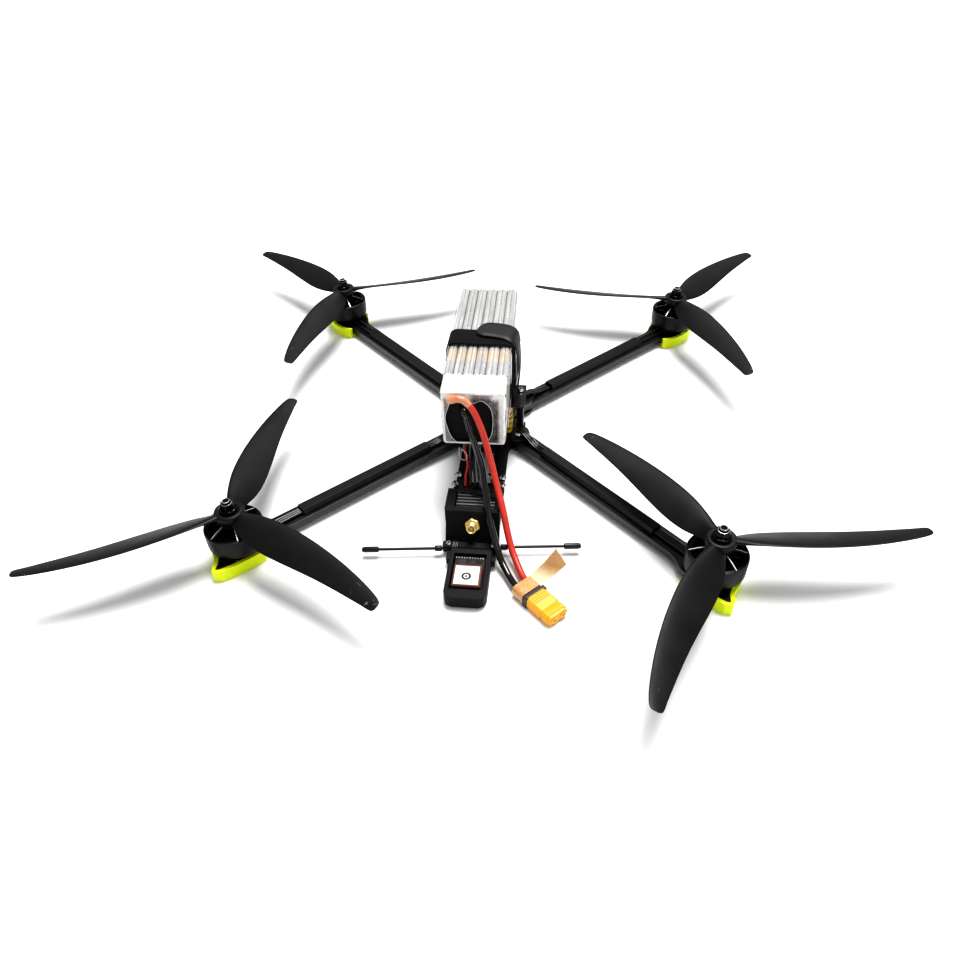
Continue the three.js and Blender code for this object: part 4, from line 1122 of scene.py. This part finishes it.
# painted shade in the grooves of the top, written into the seam attribute
grooveShades = cells.data.attributes.new("seam", "FLOAT", "POINT")
back = batteryMatrix.inverted()
for vertex in cells.data.vertices:
    spot = back @ (vertex.co / mm)
    if spot.z > battery["high"] - 4:
        grooveShades.data[vertex.index].value = grooveShadeTone(spot.x)
ends = [polygon for polygon in cells.data.polygons if len(polygon.vertices) > 20]
for polygon in ends:
    polygon.use_smooth = False
    if polygon.center.y < 0:
        polygon.material_index = 1
meshPiece("battery_end_wrap", *placed(batteryBand(), batteryMatrix), "frame", whiteWrap, (), 60)
filmShape, filmEdge = batteryFilm()
film = meshPiece("battery_end_film", *placed(filmShape, batteryMatrix), "frame", endFilm(), (), 60)
tones = film.data.attributes.new("tone", "FLOAT", "POINT")
for vertex in film.data.vertices:
    local = back @ (vertex.co / mm)
    tones.data[vertex.index].value = filmTone(local.x, local.z)
clearEdge = mottled("film cut edge", "#b9b9b9", "#f2f2f2", 3.0, 0.15, 0.3, 0.02, Coat_Weight=0.5)
meshPiece("battery_film_edge", *placed(filmEdge, batteryMatrix), "frame", clearEdge, (), 80)


def thinSheet(corners, thick, across, along, push):
    # a thin closed sheet between four corners, its surface moved by push(s, t)
    a, b, c, d = (Vector(p) for p in corners)
    normal = (b - a).cross(d - a).normalized()
    rings = []
    for j in range(along + 1):
        t = j / along
        left, right = a.lerp(d, t), b.lerp(c, t)
        face, reverse = [], []
        for i in range(across + 1):
            s = i / across
            spot = left.lerp(right, s) + normal * push(s, t)
            face.append(tuple(spot + normal * thick / 2))
            reverse.append(tuple(spot - normal * thick / 2))
        rings.append(reverse + face[::-1])
    return lofted(rings)


def foldLine(x, z, lift):
    path = [Vector((x + 0.35 * wrinkle((0, y, 0), 9.0, x), y, z + lift * wrinkle((0, y, 9), 7.0, x)))
            for y in range(-50, 71, 4)]
    return tubeAlong(path, 0.34, 8)


filmGrey = mottled("folded shrink film", "#77777a", "#c2c2c0", 6.0, 0.16, 0.3, 0.1, Coat_Weight=0.6)
folds = [foldLine(-21.5, 88.1, 0.3), foldLine(21.5, 88.0, 0.3), foldLine(21.7, 84.6, 0.6),
         foldLine(-21.6, 47, 0.3), foldLine(21.6, 47, 0.3)]
meshPiece("battery_film_folds", *placed(merged(folds), batteryMatrix), "frame", filmGrey, (), 80)

# tan adhesive film folded round the near left edge of the pack
tanFilm = mottled("tan adhesive film", "#b98a55", "#e3c08e", 6.0, 0.25, 0.4, 0.3, Coat_Weight=0.4)


def labelBulge(s, t):
    return 0.5 + 2.0 * math.sin(math.pi * t) ** 0.8 * (1 - s) + 0.3 * math.sin(9 * t + 4 * s)


labelCorners = ((-21.3, -69, 60), (-21.3, -52, 58), (-21.3, -50, 84), (-21.3, -69.4, 86))
sideLabel = placed(thinSheet(labelCorners, 0.25, 10, 14, labelBulge), batteryMatrix)
meshPiece("battery_side_label", *sideLabel, "frame", tanFilm, (), 60)
print("stage: battery is in")

# battery strap and its rubber tab
# black woven webbing: ribs 0.9 mm apart along the band, dull, with fine lint
def wovenWebbing():
    material, tree, shader, where = startMaterial("black woven webbing")
    parts = addNode(tree, "ShaderNodeSeparateXYZ", links={0: where})
    picks = addNode(tree, "ShaderNodeMath", {"operation": "ADD"}, links={0: parts, 1: parts.outputs[2]})
    rows = addNode(tree, "ShaderNodeMath", {"operation": "PINGPONG"}, {1: 0.45}, {0: picks})
    cords = addNode(tree, "ShaderNodeMath", {"operation": "PINGPONG"}, {1: 0.6}, {0: parts.outputs[1]})
    lint = addNode(tree, "ShaderNodeTexNoise", {}, {"Scale": 1.6, "Detail": 6.0}, {"Vector": where})
    weave = addNode(tree, "ShaderNodeMath", {"operation": "MULTIPLY"}, links={0: rows, 1: cords})
    shade = addNode(tree, "ShaderNodeMath", {"operation": "MULTIPLY_ADD", "use_clamp": True}, {1: 2.2},
                    {0: weave, 2: lint})
    colour = addNode(tree, "ShaderNodeMix", {"data_type": "RGBA"},
                     {6: linear("#050506"), 7: linear("#141416")}, {0: shade})
    relief = addNode(tree, "ShaderNodeBump", {}, {"Strength": 1.0, "Distance": 0.25 * mm}, {"Height": shade})
    gloss = addNode(tree, "ShaderNodeMapRange", {}, {3: 0.75, 4: 0.92}, {0: lint})
    paint(tree, shader, colour, gloss, relief, Specular_IOR_Level=0.3)
    return material


webbing = wovenWebbing()
greyRubber = mottled("grey grip rubber", "#101011", "#171718", 1.6, 0.42, 0.58, 0.05)
strap = {
    "nearEdge": -30.2,
    "farEdge": -11.0,
    "loop": [  # inside of the webbing, seen from behind: across, up
        (0, 40.4), (-14, 40.4), (-17.6, 40.6), (-18.6, 42.6), (-20.2, 44.8), (-24.6, 45.6), (-26.6, 48),
        (-26.8, 56), (-26.7, 70), (-26.5, 82), (-25.4, 87.4), (-22.6, 89.4), (-14, 89.5), (-4, 89.4),
        (6, 89.4), (13.5, 89.4), (16.8, 88), (17.9, 84), (18.1, 74), (18.1, 62), (18.2, 52), (18.5, 46),
        (18.6, 42.4), (17.8, 40.6), (12, 40.4),
    ],
    "tab": [  # middle of the rubber tab: across, along, up, half width
        (-7.3, -14.3, 92.1, 1.0), (-6.4, -13.6, 92.1, 4.4), (-4.4, -13.0, 92.1, 7.4),
        (-1.2, -12.8, 92.1, 9.0), (4, -13.2, 92.0, 9.2), (10, -14.4, 91.9, 9.4), (15, -16.2, 91.6, 9.4),
        (18.8, -17.6, 90.0, 9.4), (21.0, -18, 86.6, 9.4), (22.0, -18, 81, 9.2), (22.6, -17.6, 74, 9),
        (22.9, -17.2, 67, 8.8), (22.7, -16.6, 60, 8.5), (22.2, -16, 54, 8), (21.7, -15.8, 50, 6.8),
        (21.4, -15.8, 47.6, 4.6), (21.3, -15.8, 46.8, 1.2),
    ],
}


def strapLoop():
    path = [Vector((x, 0, z)) for x, z in strap["loop"]]
    path = smoothPath(path[-2:] + path + path[:2], 5)[10:-10]
    near, far = strap["nearEdge"], strap["farEdge"]
    middle = Vector((-4, 0, 65))
    rings = []
    count = len(path)
    for k, spot in enumerate(path):
        ahead = (path[(k + 1) % count] - path[k - 1]).normalized()
        out = Vector((ahead.z, 0, -ahead.x))
        if out.dot(spot - middle) < 0:
            out = -out
        ring = []
        for y, lift in ((near, 0.25), (near, 1.0), (near + 0.5, 1.3), (near + 5, 1.24), (near + 9.6, 1.3),
                        (far - 5, 1.24), (far - 0.5, 1.3), (far, 1.0), (far, 0.25), (far - 0.5, 0.0),
                        (near + 0.5, 0.0)):
            p = spot + out * lift
            ring.append((p.x, y, p.z))
        rings.append(ring)
    return lofted(rings, True)


meshPiece("battery_strap_webbing", *strapLoop(), "frame", webbing, ("battery_strap",), 50)


def strapTab():
    path = smoothPath([Vector(p[:3]) for p in strap["tab"]], 4)
    widths = [p[3] for p in strap["tab"]]
    rings = []
    for k, spot in enumerate(path):
        n, part = divmod(k, 4)
        half = widths[n] if n + 1 >= len(widths) else widths[n] + (widths[n + 1] - widths[n]) * part / 4
        ahead = path[min(k + 1, len(path) - 1)] - path[max(k - 1, 0)]
        ahead = Vector((ahead.x, 0, ahead.z)).normalized()
        out = Vector((-ahead.z, 0, ahead.x))
        ring = []
        for y, lift in ((-half, -0.5), (-half, 0.15), (-half + 0.4, 0.55), (-half * 0.5, 0.6), (0, 0.62),
                        (half * 0.5, 0.6), (half - 0.4, 0.55), (half, 0.15), (half, -0.5), (0, -0.55)):
            lean = 0.16 * y * (1 if n < 6 else max(0, 1 - (n - 6) / 3))
            ring.append(tuple(spot + Vector((lean, y, 0)) + out * lift))
        rings.append(ring[::-1])
    return lofted(rings)


meshPiece("battery_strap_tab", *strapTab(), "frame", greyRubber, (), 45)
print("stage: strap is in")

# tail: rear mount, transmitter, antennas and satellite receiver
satinBlack = mottled("black satin sleeve", "#070708", "#121214", 1.2, 0.3, 0.44, 0.02)
refined("rear_mount", "frame", blackPrint, 0.5, 3)
refined("gps_holder", "frame", blackPrint, 0.5, 3)
refined("video_transmitter", "frame", finAluminium, 0.18)
refined("battery_pad", "frame", mottled("black foam pad", "#0c0c0d", "#18181a", 0.8, 0.8, 0.95, 0.2), 0.3)
dipole = {"half": 71, "rod": 0.95, "cap": 1.95, "capLength": 11, "turn": 6.0, "at": (0, -140, 4.8)}
dipoleSpot = (Matrix.Translation(dipole["at"]) @ Matrix.Rotation(math.radians(dipole["turn"]), 4, "Z")
              @ Matrix.Rotation(math.pi / 2, 4, "Y"))
tip = dipole["half"]
profile = [(0.6, -tip), (1.5, -tip + 0.4), (dipole["cap"], -tip + 1.6),
           (dipole["cap"], -tip + dipole["capLength"] - 0.4),
           (1.6, -tip + dipole["capLength"]), (dipole["rod"], -tip + dipole["capLength"] + 0.1),
           (dipole["rod"], -23.7), (1.7, -23.5),
           (1.9, -23), (1.9, -19.4), (1.7, -19.1), (dipole["rod"], -19)]
profile += [(radius, -height) for radius, height in reversed(profile)]
meshPiece("receiver_dipole", *placed(turned(profile, 24), dipoleSpot), "frame", satinBlack,
          ("receiver_antenna",), 40)


def threadProfile(radius, low, high, pitch, depth):
    points, z = [], low
    while z + pitch < high:
        points += [(radius, z), (radius - depth, z + pitch * 0.5)]
        z += pitch
    return points + [(radius, high)]


def antennaConnector():
    # coaxial socket: hexagon on the wall, knurled body, thread, bright rim and centre pin
    def hexagonRing(reach, z):
        ring = []
        for i in range(48):
            angle = 2 * math.pi * i / 48
            wedge = (angle + math.pi / 6) % (math.pi / 3) - math.pi / 6
            r = min(reach * math.cos(math.pi / 6) / math.cos(wedge), reach * 0.97)
            ring.append((r * math.cos(angle), r * math.sin(angle), z))
        return ring
    hexagon = lofted([hexagonRing(reach, z) for reach, z in ((4.9, 0), (5.2, 0.3), (5.2, 1.5), (4.8, 1.9))])
    body = turned([(1.9, 1.5), (3.9, 1.5), (3.9, 3.0), *threadProfile(3.15, 3.2, 7.9, 0.55, 0.25), (2.9, 8.3),
                   (2.2, 8.3), (1.9, 7.9)], 40, True)
    pin = turned([(0.6, 1.5), (0.6, 7.6), (0.3, 7.9)], 14)
    floor = turned([(2.1, 1.5), (2.1, 5.4)], 24)
    return merged([hexagon, body, pin]), floor


wallLean = math.atan2(9.5, 20.8)
connectorSpot = (Matrix.Translation((0, -129.6, 14.9)) @ Matrix.Rotation(-wallLean, 4, "X")
                 @ Matrix.Rotation(math.pi / 2, 4, "X") @ Matrix.Rotation(math.radians(12), 4, "Z"))
metal, insulator = antennaConnector()
brightGold = mottled("polished gold plating", "#dcbb62", "#f6e4a4", 0.7, 0.26, 0.38, 0.008, Metallic=0.85)
meshPiece("antenna_socket", *placed(metal, connectorSpot), "frame", brightGold, ("antenna_connector",), 30)
meshPiece("antenna_socket_insulator", *placed(insulator, connectorSpot), "frame",
          mottled("white fluoropolymer", "#d8d4c6", "#efece0", 1.0, 0.4, 0.55, 0.01), (), 40)


# satellite receiver: board, ceramic patch with copper edge, paper label with a ring
def labelPaper():
    material, tree, shader, where = startMaterial("printed paper label", (0.4, -169.6, 0))
    flat = addNode(tree, "ShaderNodeMapping", {}, {"Scale": (1, 1, 0)}, {"Vector": where})
    reach = addNode(tree, "ShaderNodeVectorMath", {"operation": "LENGTH"}, links={0: flat})
    ring = addNode(tree, "ShaderNodeMath", {"operation": "SUBTRACT"}, {1: 2.35}, {0: reach.outputs["Value"]})
    edge = addNode(tree, "ShaderNodeMath", {"operation": "ABSOLUTE"}, links={0: ring})
    line = addNode(tree, "ShaderNodeMapRange", {}, {1: 0.6, 2: 0.8, 3: 1.0, 4: 0.0}, {0: edge})
    dot = addNode(tree, "ShaderNodeMapRange", {}, {1: 0.7, 2: 0.9, 3: 1.0, 4: 0.0},
                  {0: reach.outputs["Value"]})
    ink = addNode(tree, "ShaderNodeMath", {"operation": "MAXIMUM"}, links={0: line, 1: dot})
    fibre = addNode(tree, "ShaderNodeTexNoise", {}, {"Scale": 1.5, "Detail": 5.0}, {"Vector": where})
    paper = addNode(tree, "ShaderNodeMix", {"data_type": "RGBA"},
                    {6: linear("#e2e2e0"), 7: linear("#f6f6f4")}, {0: fibre})
    colour = addNode(tree, "ShaderNodeMix", {"data_type": "RGBA"}, {7: linear("#0e0e0e")},
                     {0: ink, 6: paper.outputs[2]})
    relief = addNode(tree, "ShaderNodeBump", {}, {"Strength": 0.6, "Distance": 0.02 * mm}, {"Height": fibre})
    tree.links.new(colour.outputs[2], shader.inputs["Base Color"])
    tree.links.new(relief.outputs[0], shader.inputs["Normal"])
    shader.inputs["Roughness"].default_value = 0.45
    return material


receiverPatch = {"board": ((-8.9, -178.2, 4.5), (10.6, -149.4, 6.1)),
                 "patch": ((-8.2, -177.6, 6.3), (9.8, -159.6, 10.3))}
ceramic = mottled("fired brown ceramic", "#3e231a", "#5a3628", 1.0, 0.5, 0.68, 0.05)
copperFilm = mottled("dull copper film", "#6a4030", "#8a5a46", 1.4, 0.35, 0.5, 0.02, Metallic=0.85)
meshPiece("gps_board", *block(*receiverPatch["board"], 0.3), "frame", circuitBlack, ("gps_module",), 30)
meshPiece("gps_ceramic", *block(*receiverPatch["patch"], 0.25), "frame", ceramic, (), 30)
low, high = receiverPatch["patch"]
meshPiece("gps_copper", *block((low[0] + 0.8, low[1] + 0.8, 10.2), (high[0] - 0.8, high[1] - 0.8, 10.36),
                               0.05), "frame", copperFilm, (), 30)
meshPiece("gps_label", *block((-6.9, -176.2, 10.3), (8.1, -161.2, 10.45), 0.05), "frame", labelPaper(), (),
          30)
chips = [block((-6.4, -157.6, 6.0), (-1.4, -152.4, 7.1), 0.15),
         block((1.6, -156.4, 6.0), (4.4, -153.4, 6.8), 0.1),
         *[block((6 + 1.5 * (k % 2), -158 + 1.6 * (k // 2), 6.0),
                 (7 + 1.5 * (k % 2), -157 + 1.6 * (k // 2), 6.5), 0.08) for k in range(8)]]
meshPiece("gps_chips", *merged(chips), "frame",
          mottled("moulded chip cases", "#1b1b1c", "#2a2a2b", 0.8, 0.45, 0.6, 0.01), (), 30)
contacts = [block((-8.6 + 1.7 * k, -150.9, 6.0), (-7.6 + 1.7 * k, -149.6, 6.35), 0.08) for k in range(11)]
meshPiece("gps_solder", *merged(contacts), "frame",
          mottled("tinned solder", "#a9a9a6", "#d2d2cf", 0.5, 0.25, 0.4, 0.05, Metallic=1.0), (), 30)

# thin wires under the pack: one red, three black, and the satellite receiver's lead
redWire = mottled("thin red wire", "#b3221c", "#d4352b", 1.2, 0.28, 0.4, 0.02)
wires("camera_supply_wire", [[(-11.6, -58, 33), (-11.2, -70, 36), (-10.2, -80, 38.6), (-9.0, -84.4, 37.2),
                              (-7.8, -86.4, 32.4), (-7.7, -88.2, 28.6), (-8.8, -90.4, 23.6),
                              (-8.6, -93.4, 20.9), (-8.4, -97.5, 20.4)]], 0.85, redWire)
wires("transmitter_wires", [
    [(-8, -58, 31), (-6.8, -72, 34), (-5.9, -84, 35.2), (-5.7, -88, 29), (-5, -91.4, 22.6), (-5, -94.4, 19.9),
     (-5, -98, 20.2)],
    [(-4.5, -58, 31), (-3.6, -72, 34), (-3.3, -84, 35.6), (-3.2, -88.4, 29), (-2.4, -92, 22),
     (-2, -95.4, 20.2), (-2, -99, 20.3)],
    [(-1, -58, 31), (-0.8, -72, 34), (-1, -84, 35.6), (-0.4, -89, 27.6), (0.6, -92.4, 21.6), (1, -95.8, 20.2),
     (1, -99, 20.3)],
], 0.95, wireRubber)
wires("receiver_wires", [[(-12 + 1.2 * k, -149.2, 6.6), (-12.4 + 1.2 * k, -146.2, 7.4),
                          (-11.6 + k, -143.6, 8.6), (-11.2 + 0.9 * k, -139.2, 9.4),
                          (-11.4 + 0.8 * k, -136.6, 8.9)] for k in range(4)], 0.42, wireRubber, sides=8)

# heat-shrink sleeve over the transmitter's plug, cut off at a slant
sleeveRings = (
    ((12.6, -92.5, 13), (12.6, -92.5, 19.6), (-12.8, -92.5, 19.6), (-12.8, -92.5, 13)),
    ((13.3, -94, 12.6), (13.3, -94, 20.0), (-12.8, -94, 20.0), (-12.8, -94, 12.6)),
    ((13.3, -109.6, 12.6), (13.3, -110.4, 20.2), (-12.8, -101.6, 20.2), (-12.8, -101, 12.6)),
    ((12.6, -110.4, 13), (12.6, -111, 19.9), (-12.2, -102.4, 19.9), (-12.2, -102, 13)),
)
sleeve = lofted([[(x - 0.3 * (k - 1), y, z) for x, y, z in ring] for k, ring in enumerate(sleeveRings)])
meshPiece("transmitter_sleeve", *sleeve, "frame", wireRubber, (), 40)

# milky film round the red lead where it leaves the pack
milkyFilm = mottled("milky film round the lead", "#ee9a6a", "#fbe0b8", 4.0, 0.18, 0.3, 0.2, Coat_Weight=0.6,
                    Alpha=0.5)
sheath = smoothPath([Vector(p) for p in ((-18.6, -87.6, 83.4), *leads["red"][:4])], 6)
swell = [2.4 + 0.5 * math.sin(math.pi * min(k / 14, 1)) + 0.25 * wrinkle(tuple(spot), 2.4)
         for k, spot in enumerate(sheath)]
meshPiece("red_lead_film", *tubeAlong(sheath, swell, 24), "frame", milkyFilm, (), 60)

# clear shrink ring hanging below the pack
ringPath = ((-12.9, -85.4, 44), (-13.2, -86.2, 39), (-11.6, -86.8, 34.6), (-9.2, -87, 34.4),
            (-7.9, -86.6, 37.4), (-9.4, -86, 40.6), (-11.8, -85.4, 42.6))
filmRing = tubeAlong(smoothPath([Vector(p) for p in ringPath], 6), 0.35, 8)
ringFilm = mottled("clear film roll", "#8f8280", "#d9cfcc", 2.0, 0.2, 0.34, 0.05, Coat_Weight=0.5)
meshPiece("loose_film_ring", *filmRing, "frame", ringFilm, (), 60)

# button-head screws
screws("lobe_screws", [(sx * 23, sy * y, 10.55) for sx in (-1, 1) for sy, y in ((1, 22.5), (-1, 25.5))], 2.7,
       1.6)
screws("tail_screws", [(-16.2, -75.6, 10.55), (-17.4, -85.2, 10.55), (6.6, -75.8, 10.55), (8.4, -85.4, 10.55),
                       (15.4, -76.6, 10.55), (15.6, -84.4, 10.55)], 2.5, 1.5)
screws("top_plate_screws",
       [(sx * 23.5, -15, 43.05) for sx in (-1, 1)] + [(sx * 13.6, 50, 43.05) for sx in (-1, 1)], 2.5, 1.5)
screws("pad_wall_screws", [(-14.4, -139.9, 7.45), (14.4, -139.9, 7.45)], 1.9, 1.0)
print("stage: tail is in")

# power plug under the pack: moulded yellow ribs between dark sleeves
plug = []
for z, halfX, halfY in ((12.4, 3.3, 7.6), (17.2, 3.5, 8.0), (22.0, 3.5, 8.0), (26.8, 3.3, 7.4)):
    rings = []
    for k in range(9):
        angle = math.pi * (k / 8 - 0.5)
        swell = 0.55 + 0.45 * math.cos(angle)
        rings.append([(14.9 + halfX * swell * math.copysign(abs(math.cos(a)) ** 0.6, math.cos(a)),
                       -18 + halfY * swell * math.copysign(abs(math.sin(a)) ** 0.6, math.sin(a)),
                       z + 1.9 * math.sin(angle))
                      for a in (2 * math.pi * i / 32 for i in range(32))])
    plug.append(lofted(rings))
goldNylon = mottled("gold-yellow ribbed plug", "#a8861c", "#d8b43a", 1.6, 0.25, 0.4, 0.06, Coat_Weight=0.3)
meshPiece("power_plug_ribs", *merged(plug), "frame", goldNylon, ("power_plug",), 50)
posts = [placed(turned([(1.7, 11.2), (1.9, 12), (1.9, 36.4), (1.5, 37.1)], 20),
                Matrix.Translation((15, y, 0))) for y in (-21.6, -14.4)]
meshPiece("power_plug_sleeves", *merged(posts), "frame", wireRubber, (), 40)
shrinkFilm = mottled("pinkish shrink film", "#a87f6a", "#e0c3ae", 2.0, 0.3, 0.45, 0.1)
wrap = [[(14.9 + 3.4 * math.cos(a), -18 + 6.8 * math.sin(a), z)
         for a in (2 * math.pi * i / 32 for i in range(32))] for z in (29.4, 30.2, 35.2, 36)]
meshPiece("power_plug_wrap", *lofted(wrap), "frame", shrinkFilm, (), 60)

# boards of the flight stack
refined("speed_controller", "frame", circuitBlack, 0.15)
refined("flight_controller", "frame", circuitBlack, 0.15)
refined("receiver", "frame", circuitGreen, 0.15)
caseBlack = mottled("moulded transistor cases", "#161617", "#242425", 0.8, 0.4, 0.58, 0.01)
low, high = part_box("speed_controller")
z = high[2] / mm
parts = [block((x, 10 + y, z - 0.05), (x + 4.6, 10 + y + 5.2, z + 1.0), 0.15)
         for x in (-17.6, -12.2, 7.6, 13.0) for y in (-16, -9, 4, 11)]
parts += [block((-4, 6, z - 0.05), (4, 14, z + 1.1), 0.15)]
meshPiece("speed_controller_parts", *merged(parts), "frame", caseBlack, (), 30)
low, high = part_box("flight_controller")
z = high[2] / mm
parts = [block((-4.5, 5.5, z - 0.05), (4.5, 14.5, z + 1.0), 0.15),
         block((7, 12, z - 0.05), (11, 16, z + 0.9), 0.12),
         block((-12, 3, z - 0.05), (-8, 7, z + 0.9), 0.12),
         *[block((-9 + 2.4 * k, 19, z - 0.05), (-7.6 + 2.4 * k, 20, z + 0.5), 0.08) for k in range(8)]]
meshPiece("flight_controller_parts", *merged(parts), "frame", caseBlack, (), 30)
sockets = [block((-3.8, 24.4, z - 0.05), (3.8, 28.2, z + 2.4), 0.3),
           block((-17.6, 6, z - 0.05), (-14.6, 14, z + 2.2), 0.2),
           block((14.6, 6, z - 0.05), (17.6, 14, z + 2.2), 0.2)]
meshPiece("flight_controller_sockets", *merged(sockets), "frame", zincSteel, (), 30)

# nose camera in its bracket
refined("camera_bracket", "frame", blackPrint, 0.5, 3)
refined("camera", "camera", mottled("matt camera shell", "#101011", "#1c1c1e", 1.0, 0.45, 0.6, 0.04), 0.4)
noseTurn = Matrix.Translation((0, 74, 25)) @ Matrix.Rotation(-math.pi / 2, 4, "X")
lensRing = turned([(4.6, 18.6), (7.4, 18.6), (7.7, 19.0), (7.7, 19.6), (7.0, 19.9), (5.6, 19.4), (4.6, 19.0)],
                  56, True)
meshPiece("camera_lens_ring", *placed(lensRing, noseTurn), "camera", blackAnodised, (), 40)
dome = turned([(5.4, 19.0), (4.9, 19.4), (3.8, 19.8), (2.4, 20.05), (1.0, 20.15), (0.2, 20.16)], 48)
meshPiece("camera_lens_glass", *placed(dome, noseTurn), "camera",
          mottled("coated lens glass", "#0a0d1c", "#16203a", 3.0, 0.03, 0.07, 0.0, Coat_Weight=1.0), (), 60)
print("stage: flight stack and camera are in")
